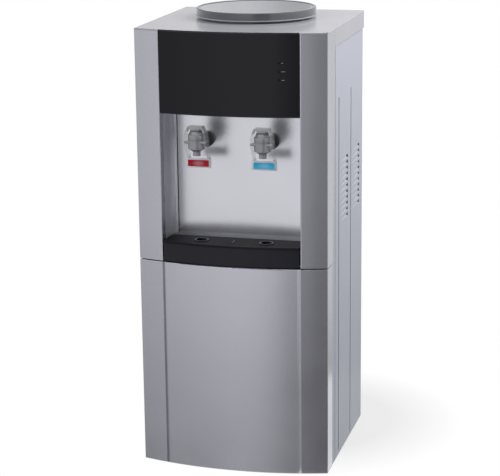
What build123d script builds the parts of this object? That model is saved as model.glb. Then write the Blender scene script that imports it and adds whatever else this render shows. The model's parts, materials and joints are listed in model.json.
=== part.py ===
from build123d import *
from math import sqrt
import os

os.makedirs("parts", exist_ok=True)

# Cabinet envelope, mm. X runs right, Y runs back, Z runs up from the floor.
body_width = 360.0
body_depth = 355.0
front_bow = 26.0
foot_height = 10.0
door_lift = 1.0
door_height = 398.0
seam_gap = 2.0
upper_height = 431.0

# Walls, laps and clearances
sheet = 0.8
panel_inset = 2.0
frame_wall = 2.5
jamb_round = 1.8
cover_wall = 3.0
door_wall = 3.0
door_round = 1.2
liner_wall = 2.0
fit_gap = 0.3
side_room = 2.5
corner_round = 1.5
running_gap = 0.05

# Front frame and dispensing niche
pilaster_inner = 131.0
jamb_depth = 20.0
return_top = 61.5
return_mid = 48.0
return_low = 43.5
panel_height = 153.0
panel_recess = 2.0
panel_wall = 3.0
niche_depth = 60.7
cove_width = 9.0
cove_depth = 23.0
plate_wall = 1.2
seam_width = 2.4
seam_depth = 2.0
step_depth = 17.0
step_drop = 1.0
shelf_wall = 3.0

# Indicators on the control panel
lens_x = 94.3
lens_top_drop = 54.6
lens_pitch = 15.2
lens_count = 3
lens_radius = 2.2
lens_proud = 0.4
lens_round = 0.5
lens_gap = 0.1
board_width = 30.0
board_wall = 1.6
board_margin = 10.0

# Drip tray and its grate
tray_side_gap = 1.8
tray_rear_gap = 5.0
grate_rear_gap = 2.0
tray_height = 34.5
tray_wall = 2.5
grate_wall = 3.0
grate_lip = 3.0
drain_radius = 10.0
ring_width = 4.0
ring_rise = 0.8
drain_back = 36.5
rib_width = 2.0
rib_rise = 0.6
rib_margin = 22.0
fascia_inset = 2.0
tray_lip_round = 2.0
tray_corner = 12.0

# Taps
tap_x = 62.0
tap_forward = 71.2
barrel_radius = 15.5
tap_head_room = 28.5
barrel_height = 34.0
cap_height = 18.5
cap_chamfer = 1.5
cap_tier_radius = 12.5
cap_tier_height = 7.5
tap_wall = 4.0
cone_height = 6.0
nozzle_radius = 7.0
nozzle_wall = 2.0
nozzle_length = 7.5
shank_drop = 29.5
shank_radius = 8.0
shank_bore = 3.0
shank_tail = 24.0
stem_radius = 2.5
stem_gap = 1.2
stem_round = 0.8
seat_floor = 1.0
seal_radius = 8.0
seal_wall = 3.0
pivot_forward = 9.0
pivot_drop = 21.5
pivot_radius = 2.5
lever_gap = 1.5
lever_wall = 3.5
lever_over = 8.0
lever_drop = 72.0
lever_front = 13.0
lever_rear = 5.0
lever_arm_depth = 10.0
lever_set_back = 9.0
lever_round = 10.0
pad_height = 17.0
pad_over = 1.2
tag_width = 37.6
tag_height = 12.0
tag_wall = 0.6
rose_radius = 14.3
rose_depth = 9.0
rose_chamfer = 2.2
nut_flats = 24.0
nut_depth = 8.0

# Bottle seat on the top
seat_rear = 136.5
seat_room = 1.5
collar_radius = 113.2
collar_wall = 6.2
collar_height = 13.5
collar_round = 2.0
seat_ring_lap = 8.0
seat_ring_height = 4.5
ledge_height = 2.0
ledge_lap = 6.8
funnel_wall = 3.0
funnel_body_radius = 88.0
funnel_drop = 20.0
rim_step = 1.5
bowl_lean = 3.0
bowl_sag = 6.0
neck_radius = 33.0
neck_drop = 40.0
spike_radius = 10.0
spike_bore = 6.0
spike_rise = 35.0
spike_base = 4.0
spike_tip = 6.0
spike_taper = 20.0
flow_hole_count = 6
flow_hole_radius = 5.0

# Side panels: fold line, grooves and louvres
fold_back = 97.5
fold_width = 3.0
fold_depth = 0.8
front_groove_back = 130.5
rear_groove_back = 241.5
groove_width = 6.0
groove_depth = 1.5
groove_foot = 6.0
groove_height = 694.0
front_louvre_back = 145.5
front_louvre_length = 68.0
rear_louvre_back = 250.5
rear_louvre_length = 74.0
louvre_count = 11
louvre_pitch = 11.4
louvre_low = 470.0
louvre_tip = 0.4
louvre_mouth = 3.6
rear_flange = 14.0

# Top cover
skirt_height = 34.0

# Storage cabinet and door
door_return = 38.5
door_gap = 4.0
door_groove_x = 128.5
door_groove_width = 7.0
door_groove_depth = 1.8
pan_margin = 38.0
pan_depth = 14.0
gasket_width = 10.0
gasket_inset = 12.0
opening_margin = 2.25
hinge_in = 7.0
hinge_ahead = 11.0
pin_radius = 3.0
pin_boss = 5.5
pin_engage = 14.0
bracket_wall = 3.0
bracket_room = 7.75
bracket_length = 53.0
bracket_edge_front = 9.0
bracket_edge_side = 6.0
shelf_level = 181.0
shelf_gap = 0.6
ledge_width = 5.0
ledge_wall = 4.0
ledge_inset = 9.0
slot_count = 9
slot_width = 6.0
slot_margin = 20.0

# Base, decks and feet
base_sheet = 1.2
base_flange = 20.0
foot_radius = 15.0
foot_taper = 3.0
foot_room = 5.0
foot_front = 92.5
foot_rear = 32.0
tab_room = 11.7

# Water tanks and hoses
cold_height = 132.0
tank_wall = 1.2
tank_mouth_gap = 3.0
sleeve_wall = 2.0
sleeve_margin = 15.0
mouth_room = 10.0
foam_room = 1.3
foam_wall = 15.5
foam_floor = 16.0
hot_radius = 52.0
hot_back = 222.5
hot_skirt_radius = 31.0
hot_skirt = 27.5
hot_dome = 18.0
band_height = 40.0
band_wall = 3.5
spout_radius = 6.0
spout_length = 12.0
hose_radius = 7.0
hose_bore = 5.0
hose_bend = 18.0
hose_gap = 0.9
hose_rise = 34.3
outlet_ahead = 21.0
link_x = 45.0
link_level = 52.0

# Cooling circuit
compressor_x = 30.0
compressor_width = 150.0
compressor_depth = 104.0
compressor_height = 140.0
compressor_round = 24.0
compressor_rear = 82.5
compressor_corner = 50.0
compressor_wall = 9.0
compressor_room = 13.0
mount_height = 12.0
mount_radius = 9.0
mount_stud = 3.0
stud_proud = 3.0
mount_spread_x = 130.0
mount_spread_y = 76.0
foot_plate = 3.0
foot_plate_edge = 14.0
terminal_depth = 17.0
terminal_width = 25.0
terminal_height = 60.0
terminal_rise = 30.0
terminal_lap = 1.0
condenser_rear = 15.5
coil_radius = 2.5
coil_runs = 11
coil_left = -125.0
coil_right = 95.0
coil_low = 79.0
coil_top_drop = 49.0
riser_out = 23.0
riser_bend = 14.0
drier_x = -145.0
drier_radius = 9.0
drier_length = 90.0
drier_chamfer = 5.4
drier_drop = 110.0
wire_radius = 0.8
wire_pitch = 10.0
wire_end = 12.0
wire_inset = 5.0
suction_radius = 4.0
suction_level = 112.0
suction_room = 6.5
pipe_gap = 1.2
discharge_level = 70.0

# Rear panel, switches, gland, drain
rear_bay = 28.3
rear_sheet = 0.8
standoff_size = 12.0
standoff_x = 60.0
gland_x = 90.0
gland_rise = 21.0
gland_radius = 8.0
gland_bore = 4.5
gland_flange = 11.0
gland_flange_wall = 2.5
gland_inside = 5.0
gland_outside = 11.0
switch_side = 25.2
switch_rise = 160.0
switch_pitch = 44.0
switch_width = 18.0
switch_height = 30.0
switch_depth = 14.0
switch_wall = 2.5
rocker_tilt = 8.0
rocker_body = 7.0
rocker_hub = 2.3
rocker_side_gap = 0.6
rocker_end_gap = 1.2
drain_plug_radius = 11.0
drain_plug_length = 14.0
drain_plug_chamfer = 1.5
screw_radius = 2.0
screw_head = 4.0
screw_head_rise = 1.8
screw_length = 7.0
screw_margin = 12.0
screw_inset = 6.0
screw_top_drop = 36.0

# Levels and planes that follow from the sizes above
half_width = body_width / 2
front_apex = -body_depth / 2
front_corner = front_apex + front_bow
rear = body_depth / 2
bow_radius = (half_width**2 + front_bow**2) / (2 * front_bow)
bow_center = front_apex + bow_radius


# A point's Y on the bowed front, set back from the face by an inset.
def bow_y(x, inset=0.0):
    return bow_center - sqrt((bow_radius - inset)**2 - x**2)


door_bottom = foot_height + door_lift
door_top = door_bottom + door_height
upper_bottom = door_top + seam_gap
body_top = upper_bottom + upper_height
cover_bottom = body_top - cover_wall
panel_outer = half_width - panel_inset
panel_inner = panel_outer - sheet
deck_half = panel_inner - side_room
skirt_inner = half_width - panel_inset
rear_skirt = rear - panel_inset
return_rear = front_corner + return_top
door_rear = front_corner + door_return
cabinet_front = door_rear + door_gap
flange_rear = cabinet_front + liner_wall
jamb_rear = bow_y(pilaster_inner) + jamb_depth
deck_top = upper_bottom + base_sheet
shelf_top = deck_top + shelf_wall
niche_top = body_top - panel_height
niche_rear = front_corner + niche_depth
plate_front = niche_rear - plate_wall
header_inset = panel_recess + panel_wall + fit_gap
tray_half = pilaster_inner - tray_side_gap
step_front = plate_front - step_depth
tray_rear = plate_front - tray_rear_gap
grate_rear = step_front - grate_rear_gap
tray_floor = shelf_top + fit_gap
tray_top = upper_bottom + fit_gap * 2 + tray_height
grate_top = tray_top + grate_wall
step_top = grate_top - step_drop
tap_y = niche_rear - tap_forward
tap_top = niche_top - tap_head_room
shank_level = tap_top - shank_drop
barrel_bottom = tap_top - barrel_height
chamber_radius = barrel_radius - tap_wall
liner_back = niche_rear + liner_wall
seat_y = rear - seat_rear
collar_bottom = body_top + seat_ring_height + ledge_height
collar_top = collar_bottom + collar_height
bay_front = rear - rear_bay - rear_sheet
bay_rear = bay_front + rear_sheet
foam_outer = min(bay_front - seat_y, seat_y - liner_back) - foam_room
foam_inner = foam_outer - foam_wall
sleeve_outer = foam_inner - fit_gap
sleeve_inner = sleeve_outer - sleeve_wall
cold_radius = sleeve_inner - fit_gap
neck_top = body_top - funnel_drop
cold_top = neck_top - funnel_wall - mouth_room
cold_bottom = cold_top - cold_height
foam_bottom = cold_bottom - foam_floor
hot_x = -tap_x
hot_y = front_apex + hot_back
hot_bottom = deck_top + hot_skirt
hot_top = shank_level - hose_rise - spout_length
condenser_y = rear - condenser_rear
compressor_y = rear - compressor_rear
cabinet_rear = compressor_y - compressor_depth / 2 - compressor_room - liner_wall
cabinet_depth = cabinet_rear - cabinet_front
can_side = compressor_x + compressor_width / 2
riser_x = can_side + riser_out
compressor_bottom = foot_height + base_sheet + mount_height + foot_plate
coil_bottom = upper_bottom + coil_low
coil_top = cover_bottom - coil_top_drop
coil_pitch = (coil_top - coil_bottom) / (coil_runs - 1)
drier_top = coil_bottom - drier_drop
switch_x = panel_inner - switch_side
hinge_x = -half_width + hinge_in
hinge_y = door_rear - hinge_ahead
bracket_left = hinge_x - bracket_edge_side
rail_half = pilaster_inner + frame_wall / 2
bracket_right = -rail_half - bracket_room
bracket_width = bracket_right - bracket_left
foot_x = -bracket_right - foot_room - foot_radius
groove_ys = (front_apex + front_groove_back, front_apex + rear_groove_back)
tab_center = sum(groove_ys) / 2
tab_length = groove_ys[1] - groove_ys[0] - groove_width - 2 * sheet - 2 * tab_room


# An upright plane at a Y, seen from the front: local axes are X and Z.
def upright(y):
    return Plane.XZ.offset(-y)


# A strip that follows the bowed front between two insets.
def bow_strip(half, front_inset, back_inset):
    with BuildSketch() as strip:
        with BuildLine():
            front_end = bow_y(half, front_inset)
            back_end = bow_y(half, back_inset)
            ThreePointArc((-half, front_end), (0, bow_y(0, front_inset)), (half, front_end))
            Line((half, front_end), (half, back_end))
            ThreePointArc((half, back_end), (0, bow_y(0, back_inset)), (-half, back_end))
            Line((-half, back_end), (-half, front_end))
        make_face()
    return strip.sketch


# A slab whose front edge follows the bow and whose other edges are straight.
def bow_slab(half, front_inset, back, rear_round=0.0):
    with BuildSketch() as slab:
        with BuildLine():
            end = bow_y(half, front_inset)
            ThreePointArc((-half, end), (0, bow_y(0, front_inset)), (half, end))
            Polyline((half, end), (half, back), (-half, back), (-half, end))
        make_face()
        if rear_round:
            fillet(slab.vertices().group_by(Axis.Y)[-1], radius=rear_round)
    return slab.sketch


# A round tube that follows straight runs joined by bends.
def bent_tube(points, bend, radius, bore=0.0):
    with BuildPart() as tube:
        with BuildLine() as route:
            FilletPolyline(*points, radius=bend)
        with BuildSketch(Plane(origin=route.line @ 0, z_dir=route.line % 0)):
            Circle(radius)
            if bore:
                Circle(bore, mode=Mode.SUBTRACT)
        sweep(path=route.line)
    return tube


# Base pan: a steel floor with upturned edges and tabs to the side panels
base_front = flange_rear
base_rear = rear_skirt - sheet
base_length = base_rear - base_front
with BuildPart() as base_pan:
    with BuildSketch(Plane.XY.offset(foot_height)):
        with Locations((0, (base_front + base_rear) / 2)):
            Rectangle(2 * deck_half, base_length)
        with Locations((0, tab_center)):
            Rectangle(2 * panel_inner, tab_length)
    extrude(amount=base_sheet)
    with BuildSketch(Plane.XY.offset(foot_height)):
        with Locations((0, (base_front + base_rear) / 2)):
            Rectangle(2 * deck_half, base_length)
            Rectangle(2 * (deck_half - base_sheet), base_length - 2 * base_sheet, mode=Mode.SUBTRACT)
    extrude(amount=base_flange)

# Feet: four turned pads under the base pan
foot_spots = []
for foot_side in (-1, 1):
    foot_spots.append((foot_side * foot_x, front_apex + foot_front))
    foot_spots.append((foot_side * foot_x, rear - foot_rear))
with BuildPart() as feet:
    with BuildSketch(Plane.XY.offset(foot_height)):
        with Locations(*foot_spots):
            Circle(foot_radius)
    extrude(amount=-foot_height)
    chamfer(feet.edges().group_by(Axis.Z)[0], length=foot_taper)


# Side panel: folded sheet with a fold line, two pressed grooves and two louvre columns
def side_panel(side):
    face_x = side * panel_outer
    groove_bottom = foot_height + groove_foot
    fold_y = front_apex + fold_back
    panel_top = cover_bottom - fit_gap
    panel_span = panel_top - foot_height
    panel_middle = (foot_height + panel_top) / 2
    groove_middle = groove_bottom + groove_height / 2
    with BuildPart() as panel:
        with BuildSketch(Plane.YZ.offset(face_x)):
            with Locations(((cabinet_front + rear_skirt) / 2, panel_middle)):
                Rectangle(rear_skirt - cabinet_front, panel_span)
        extrude(amount=-side * sheet)
        with BuildSketch(upright(rear_skirt)):
            with Locations((side * (panel_outer - rear_flange / 2), panel_middle)):
                Rectangle(rear_flange, panel_span)
        extrude(amount=sheet)
        with BuildSketch(Plane.YZ.offset(face_x)):
            with Locations((fold_y, panel_middle)):
                Rectangle(fold_width + 2 * sheet, panel_span)
        extrude(amount=-side * (fold_depth + sheet))
        with BuildSketch(Plane.YZ.offset(face_x)):
            for groove_y in groove_ys:
                with Locations((groove_y, groove_middle)):
                    SlotOverall(groove_height + 2 * sheet, groove_width + 2 * sheet, rotation=90)
        extrude(amount=-side * (groove_depth + sheet))
        with BuildSketch(Plane.YZ.offset(face_x)):
            with Locations((fold_y, panel_middle)):
                Rectangle(fold_width, panel_span)
        extrude(amount=-side * fold_depth, mode=Mode.SUBTRACT)
        with BuildSketch(Plane.YZ.offset(face_x)):
            for groove_y in groove_ys:
                with Locations((groove_y, groove_middle)):
                    SlotOverall(groove_height, groove_width, rotation=90)
        extrude(amount=-side * groove_depth, mode=Mode.SUBTRACT)
        front_column = front_apex + front_louvre_back
        rear_column = front_apex + rear_louvre_back
        levels = [louvre_low + step * louvre_pitch for step in range(louvre_count)]
        front_scoops = [(face_x, front_column, level) for level in levels]
        rear_scoops = [(face_x, rear_column, level) for level in levels]
        along_y = (-90, 0, 0)
        from_tip = (Align.CENTER, Align.CENTER, Align.MIN)
        outer_tip = louvre_tip + sheet
        outer_mouth = louvre_mouth + sheet
        with Locations(*front_scoops):
            Cone(outer_tip, outer_mouth, front_louvre_length, rotation=along_y, align=from_tip)
        with Locations(*rear_scoops):
            Cone(outer_tip, outer_mouth, rear_louvre_length, rotation=along_y, align=from_tip)
        with BuildSketch(Plane.YZ.offset(face_x)):
            with Locations(((cabinet_front + rear_skirt) / 2, panel_middle)):
                Rectangle(rear_skirt - cabinet_front, panel_span)
        extrude(amount=side * outer_mouth, mode=Mode.SUBTRACT)
        with Locations(*front_scoops):
            Cone(
                louvre_tip, louvre_mouth, front_louvre_length,
                rotation=along_y, align=from_tip, mode=Mode.SUBTRACT,
            )
        with Locations(*rear_scoops):
            Cone(
                louvre_tip, louvre_mouth, rear_louvre_length,
                rotation=along_y, align=from_tip, mode=Mode.SUBTRACT,
            )
    return panel


left_side_panel = side_panel(-1)
right_side_panel = side_panel(1)

# Front frame: two bowed pilasters with side returns, a header and the tray rail
with BuildPart() as front_frame:
    with BuildSketch(Plane.XY.offset(upper_bottom)) as pilaster_plan:
        with BuildLine():
            middle = (pilaster_inner + half_width) / 2
            inner_front = pilaster_inner + frame_wall
            inner_middle = (inner_front + skirt_inner) / 2
            ThreePointArc(
                (pilaster_inner, bow_y(pilaster_inner)),
                (middle, bow_y(middle)),
                (half_width, front_corner),
            )
            Polyline(
                (half_width, front_corner),
                (half_width, return_rear),
                (skirt_inner, return_rear),
                (skirt_inner, bow_y(skirt_inner, frame_wall)),
            )
            ThreePointArc(
                (skirt_inner, bow_y(skirt_inner, frame_wall)),
                (inner_middle, bow_y(inner_middle, frame_wall)),
                (inner_front, bow_y(inner_front, frame_wall)),
            )
            Polyline(
                (inner_front, bow_y(inner_front, frame_wall)),
                (inner_front, jamb_rear),
                (pilaster_inner, jamb_rear),
                (pilaster_inner, bow_y(pilaster_inner)),
            )
        make_face()
        corner_points = pilaster_plan.vertices().sort_by_distance((half_width, front_corner))
        fillet(corner_points[0], radius=corner_round)
        jamb_corner = (pilaster_inner, bow_y(pilaster_inner))
        jamb_points = pilaster_plan.vertices().sort_by_distance(jamb_corner)
        fillet(jamb_points[0], radius=jamb_round)
    extrude(amount=cover_bottom - upper_bottom)
    # The return's rear edge sweeps forward on its way down
    with BuildSketch(Plane.YZ.offset(half_width)):
        with BuildLine():
            skirt_bottom = body_top - skirt_height
            ThreePointArc(
                (return_rear, skirt_bottom),
                (front_corner + return_mid, (skirt_bottom + upper_bottom) / 2),
                (front_corner + return_low, upper_bottom),
            )
            Polyline(
                (front_corner + return_low, upper_bottom),
                (return_rear, upper_bottom),
                (return_rear, skirt_bottom),
            )
        make_face()
    extrude(amount=-panel_inset, mode=Mode.SUBTRACT)
    mirror(about=Plane.YZ)
    with BuildSketch(Plane.XY.offset(niche_top + liner_wall)):
        add(bow_strip(rail_half, header_inset, header_inset + frame_wall))
    extrude(amount=cover_bottom - niche_top - liner_wall)
    with BuildSketch(Plane.XY.offset(deck_top)):
        rail_front = jamb_rear - jamb_depth / 2
        with Locations((0, (rail_front + plate_front) / 2)):
            Rectangle(2 * rail_half, plate_front - rail_front)
    extrude(amount=shelf_wall)
    lens_low = body_top - lens_top_drop - lens_pitch * (lens_count - 1)
    lens_middle = lens_low + lens_pitch * (lens_count - 1) / 2
    window_height = lens_pitch * (lens_count - 1) + board_margin
    with BuildSketch(upright(front_apex)):
        with Locations((lens_x, lens_middle)):
            Rectangle(board_margin, window_height)
    extrude(amount=-niche_depth, mode=Mode.SUBTRACT)

# Control panel: the glossy bowed fascia over the niche
lens_spots = [(lens_x, lens_low + lens_pitch * step) for step in range(lens_count)]
lens_front = bow_y(lens_x, panel_recess)
with BuildPart() as control_panel:
    with BuildSketch(Plane.XY.offset(niche_top)):
        add(bow_strip(pilaster_inner - fit_gap, panel_recess, panel_recess + panel_wall))
    extrude(amount=cover_bottom - niche_top)
    with BuildSketch(upright(front_apex)):
        with Locations(*lens_spots):
            Circle(lens_radius + lens_gap)
    extrude(amount=-niche_depth, mode=Mode.SUBTRACT)

# Indicator board: a flat card behind the header
board_front = bow_y(lens_x + board_width / 2, header_inset + frame_wall) + fit_gap
with BuildPart() as indicator_board:
    with BuildSketch(upright(board_front)):
        with Locations((lens_x, lens_middle)):
            Rectangle(board_width, window_height + board_margin)
    extrude(amount=-board_wall)

# Indicator lenses: three light pipes from the board to the fascia
with BuildPart() as indicator_lenses:
    with BuildSketch(upright(lens_front - lens_proud)):
        with Locations(*lens_spots):
            Circle(lens_radius)
    extrude(amount=lens_front - lens_proud - board_front)
    fillet(indicator_lenses.edges().group_by(Axis.Y)[0], radius=lens_round)

# Outline of the niche, seen from above, drawn a gap inside its walls
cove_start = niche_rear - cove_depth
cove_end = pilaster_inner - cove_width


def niche_outline(gap):
    half = pilaster_inner - gap
    back = niche_rear - gap
    across = cove_width - gap
    along = cove_depth - gap
    with BuildSketch() as outline:
        with BuildLine():
            Line((-half, jamb_rear), (-half, cove_start))
            EllipticalCenterArc((-cove_end, cove_start), across, along, start_angle=90, arc_size=90)
            Line((-cove_end, back), (cove_end, back))
            EllipticalCenterArc((cove_end, cove_start), across, along, start_angle=0, arc_size=90)
            Line((half, cove_start), (half, jamb_rear))
            Line((half, jamb_rear), (-half, jamb_rear))
        make_face()
    return outline.sketch


# Niche liner: side walls with coved rear corners, a ceiling and a back wall
with BuildPart() as niche_liner:
    with BuildSketch(Plane.XY.offset(shelf_top)):
        liner_half = pilaster_inner + liner_wall
        with Locations((0, (jamb_rear + liner_back) / 2)):
            Rectangle(2 * liner_half, liner_back - jamb_rear)
    extrude(amount=niche_top + liner_wall - shelf_top)
    with BuildSketch(Plane.XY.offset(shelf_top)):
        add(niche_outline(0))
    extrude(amount=niche_top - shelf_top, mode=Mode.SUBTRACT)
    with BuildSketch(upright(niche_rear)):
        seam_x = cove_end - seam_width / 2
        seam_middle = (step_top + niche_top) / 2
        with Locations((-seam_x, seam_middle), (seam_x, seam_middle)):
            Rectangle(seam_width, niche_top - step_top)
    extrude(amount=-seam_depth, mode=Mode.SUBTRACT)
    with BuildSketch(Plane.XY.offset(niche_top)):
        add(bow_slab(pilaster_inner - fit_gap, header_inset, jamb_rear + liner_wall))
    extrude(amount=liner_wall)
    with BuildSketch(upright(front_apex)):
        with Locations((-tap_x, shank_level), (tap_x, shank_level)):
            Circle(shank_radius + fit_gap)
    extrude(amount=-body_depth / 2, mode=Mode.SUBTRACT)

# Niche back plate: satin metal sheet behind the taps, its foot folded forward over the rear of the tray
plate_half = cove_end - seam_width
plate_bottom = step_top - plate_wall
plate_top = niche_top - fit_gap
with BuildPart() as niche_back_plate:
    with BuildSketch(upright(plate_front)):
        with Locations((0, (plate_bottom + plate_top) / 2)):
            Rectangle(2 * plate_half, plate_top - plate_bottom)
        with Locations((-tap_x, shank_level), (tap_x, shank_level)):
            Circle(shank_radius + fit_gap, mode=Mode.SUBTRACT)
    extrude(amount=-plate_wall)
    with BuildSketch(Plane.XY.offset(plate_bottom)):
        add(niche_outline(fit_gap))
        with Locations((0, (step_front + niche_rear) / 2)):
            Rectangle(2 * pilaster_inner, niche_rear - step_front, mode=Mode.INTERSECT)
    extrude(amount=plate_wall)

# Drip tray: a tub with a bowed fascia that slides out to the front
with BuildPart() as drip_tray:
    with BuildSketch(Plane.XY.offset(tray_floor)):
        add(bow_slab(tray_half, fascia_inset, tray_rear, tray_corner))
    extrude(amount=tray_top - tray_floor)
    tub_inset = fascia_inset + tray_wall
    with BuildSketch(Plane.XY.offset(tray_floor + tray_wall)):
        add(bow_slab(tray_half - tray_wall, tub_inset, tray_rear - tray_wall, tray_corner - tray_wall))
    extrude(amount=tray_top - tray_floor - tray_wall, mode=Mode.SUBTRACT)
    with BuildSketch(Plane.XY.offset(upper_bottom + fit_gap)):
        add(bow_strip(tray_half, fascia_inset, tub_inset))
    extrude(amount=tray_floor - upper_bottom - fit_gap)

# Drip grate: lift-off lid with two ringed drain holes and a middle rib
drain_y = front_apex + drain_back
drain_spots = [(-tap_x, drain_y), (tap_x, drain_y)]
with BuildPart() as drip_grate:
    with BuildSketch(Plane.XY.offset(tray_top)):
        add(bow_slab(tray_half, 0, grate_rear, tray_corner))
    extrude(amount=grate_wall)
    front_lip = drip_grate.edges().group_by(Axis.Z)[-1].sort_by(Axis.Y)[0]
    fillet(front_lip, radius=tray_lip_round)
    lip_inset = tray_wall + fit_gap
    with BuildSketch(Plane.XY.offset(tray_top)):
        lip_front = fascia_inset + lip_inset
        add(bow_slab(tray_half - lip_inset, lip_front, grate_rear - lip_inset, tray_corner - lip_inset))
        rim_inset = lip_inset + tray_wall
        rim_front = lip_front + tray_wall
        rim = bow_slab(tray_half - rim_inset, rim_front, grate_rear - rim_inset, tray_corner - rim_inset)
        add(rim, mode=Mode.SUBTRACT)
    extrude(amount=-grate_lip)
    with BuildSketch(Plane.XY.offset(grate_top)):
        with Locations(*drain_spots):
            Circle(drain_radius + ring_width)
    extrude(amount=ring_rise)
    with BuildSketch(Plane.XY.offset(grate_top + ring_rise)):
        with Locations(*drain_spots):
            Circle(drain_radius)
    extrude(amount=-grate_wall - ring_rise, mode=Mode.SUBTRACT)
    with BuildSketch(Plane.XY.offset(grate_top)):
        rib_front = front_apex + rib_margin
        rib_rear = grate_rear - rib_margin
        with Locations((0, (rib_front + rib_rear) / 2)):
            Rectangle(rib_width, rib_rear - rib_front)
    extrude(amount=rib_rise)

# Sizes that the hot and cold taps share
cap_bottom = tap_top - cap_height
cone_bottom = barrel_bottom - cone_height
nozzle_bottom = cone_bottom - nozzle_length
seal_level = barrel_bottom + seat_floor
pivot_level = tap_top - pivot_drop
pivot_y = tap_y - pivot_forward
lever_inner = barrel_radius + lever_gap
lever_outer = lever_inner + lever_wall
lever_top = tap_top + lever_over
lever_bottom = tap_top - lever_drop
pad_front = tap_y + lever_set_back
stem_top = lever_top - lever_wall - stem_gap
shank_end = liner_back + shank_tail


# Tap body: barrel, conical nozzle, rear shank and the two lever pivots
def tap_body(x):
    with BuildPart() as body:
        with BuildSketch(Plane.XZ.offset(-tap_y)):
            with BuildLine():
                Polyline(
                    (x, cap_bottom),
                    (x + barrel_radius, cap_bottom),
                    (x + barrel_radius, barrel_bottom),
                    (x + nozzle_radius, cone_bottom),
                    (x + nozzle_radius, nozzle_bottom),
                    (x, nozzle_bottom),
                    close=True,
                )
            make_face()
        revolve(axis=Axis((x, tap_y, 0), (0, 0, 1)))
        with BuildSketch(upright(tap_y)):
            with Locations((x, shank_level)):
                Circle(shank_radius)
        extrude(amount=tap_y - shank_end)
        with BuildSketch(Plane.YZ.offset(x - lever_outer)):
            with Locations((pivot_y, pivot_level)):
                Circle(pivot_radius)
        extrude(amount=2 * lever_outer)
        with BuildSketch(Plane.XY.offset(seal_level)):
            with Locations((x, tap_y)):
                Circle(chamber_radius)
        extrude(amount=cap_bottom - seal_level, mode=Mode.SUBTRACT)
        with BuildSketch(Plane.XY.offset(nozzle_bottom)):
            with Locations((x, tap_y)):
                Circle(nozzle_radius - nozzle_wall)
        extrude(amount=seal_level - nozzle_bottom, mode=Mode.SUBTRACT)
        with BuildSketch(upright(tap_y)):
            with Locations((x, shank_level)):
                Circle(shank_bore)
        extrude(amount=tap_y - shank_end, mode=Mode.SUBTRACT)
    return body


# Tap cap: the screwed bonnet that guides the stem
def tap_cap(x):
    with BuildPart() as cap:
        with BuildSketch(Plane.XY.offset(cap_bottom)):
            with Locations((x, tap_y)):
                Circle(barrel_radius)
        extrude(amount=cap_height - cap_tier_height)
        chamfer(cap.edges().group_by(Axis.Z)[-1], length=cap_chamfer)
        with BuildSketch(Plane.XY.offset(tap_top - cap_tier_height)):
            with Locations((x, tap_y)):
                Circle(cap_tier_radius)
        extrude(amount=cap_tier_height)
        chamfer(cap.edges().group_by(Axis.Z)[-1], length=cap_chamfer)
        with BuildSketch(Plane.XY.offset(cap_bottom)):
            with Locations((x, tap_y)):
                Circle(chamber_radius)
        extrude(amount=cap_height - cap_tier_height - tap_wall, mode=Mode.SUBTRACT)
        with BuildSketch(Plane.XY.offset(cap_bottom)):
            with Locations((x, tap_y)):
                Circle(stem_radius + running_gap)
        extrude(amount=cap_height, mode=Mode.SUBTRACT)
    return cap


# Tap plunger: stem and seal disc, lifted off the seat by the lever
def tap_plunger(x):
    with BuildPart() as plunger:
        with BuildSketch(Plane.XY.offset(seal_level + fit_gap)):
            with Locations((x, tap_y)):
                Circle(seal_radius)
        extrude(amount=seal_wall)
        with BuildSketch(Plane.XY.offset(seal_level + fit_gap)):
            with Locations((x, tap_y)):
                Circle(stem_radius)
        extrude(amount=stem_top - seal_level - fit_gap)
        fillet(plunger.edges().group_by(Axis.Z)[-1], radius=stem_round)
    return plunger


# Tap lever: a clear loop over the cap with two arms and a cup pad
def tap_lever(x):
    arm_rear = pad_front + lever_arm_depth
    loop_front = tap_y - lever_front
    loop_rear = tap_y + lever_rear
    shoulder = tap_top - lever_round
    elbow = lever_bottom + pad_height
    with BuildPart() as lever:
        with BuildSketch(upright(loop_front)) as loop:
            with Locations((x, (lever_top + lever_bottom) / 2)):
                Rectangle(2 * lever_outer, lever_top - lever_bottom)
            fillet(loop.vertices().group_by(Axis.Y)[-1], radius=lever_round)
        extrude(amount=loop_front - arm_rear)
        with BuildSketch(upright(loop_front)) as gap:
            with Locations((x, (lever_top - lever_wall + lever_bottom) / 2)):
                Rectangle(2 * lever_inner, lever_top - lever_wall - lever_bottom)
            fillet(gap.vertices().group_by(Axis.Y)[-1], radius=lever_round - lever_wall)
        extrude(amount=loop_front - arm_rear, mode=Mode.SUBTRACT)
        with BuildSketch(Plane.YZ.offset(x - lever_outer)):
            with BuildLine():
                Polyline(
                    (loop_front, lever_top),
                    (loop_rear, lever_top),
                    (loop_rear, shoulder),
                    (arm_rear, elbow),
                    (arm_rear, lever_bottom),
                    (pad_front, lever_bottom),
                    (pad_front, elbow),
                    (loop_front, pivot_level - 2 * pivot_radius),
                    close=True,
                )
            make_face()
        extrude(amount=2 * lever_outer, mode=Mode.INTERSECT)
        with BuildSketch(upright(pad_front)):
            with Locations((x, lever_bottom + pad_height / 2)):
                Rectangle(2 * (lever_outer + pad_over), pad_height)
        extrude(amount=-lever_wall)
        with BuildSketch(Plane.YZ.offset(x - lever_outer)):
            with Locations((pivot_y, pivot_level)):
                Circle(pivot_radius + running_gap)
        extrude(amount=2 * lever_outer, mode=Mode.SUBTRACT)
    return lever


# Tap tag: the coloured strip on the cup pad
def tap_tag(x):
    with BuildPart() as tag:
        with BuildSketch(upright(pad_front)):
            with Locations((x, lever_bottom + pad_height / 2)):
                Rectangle(tag_width, tag_height)
        extrude(amount=tag_wall)
    return tag


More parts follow.
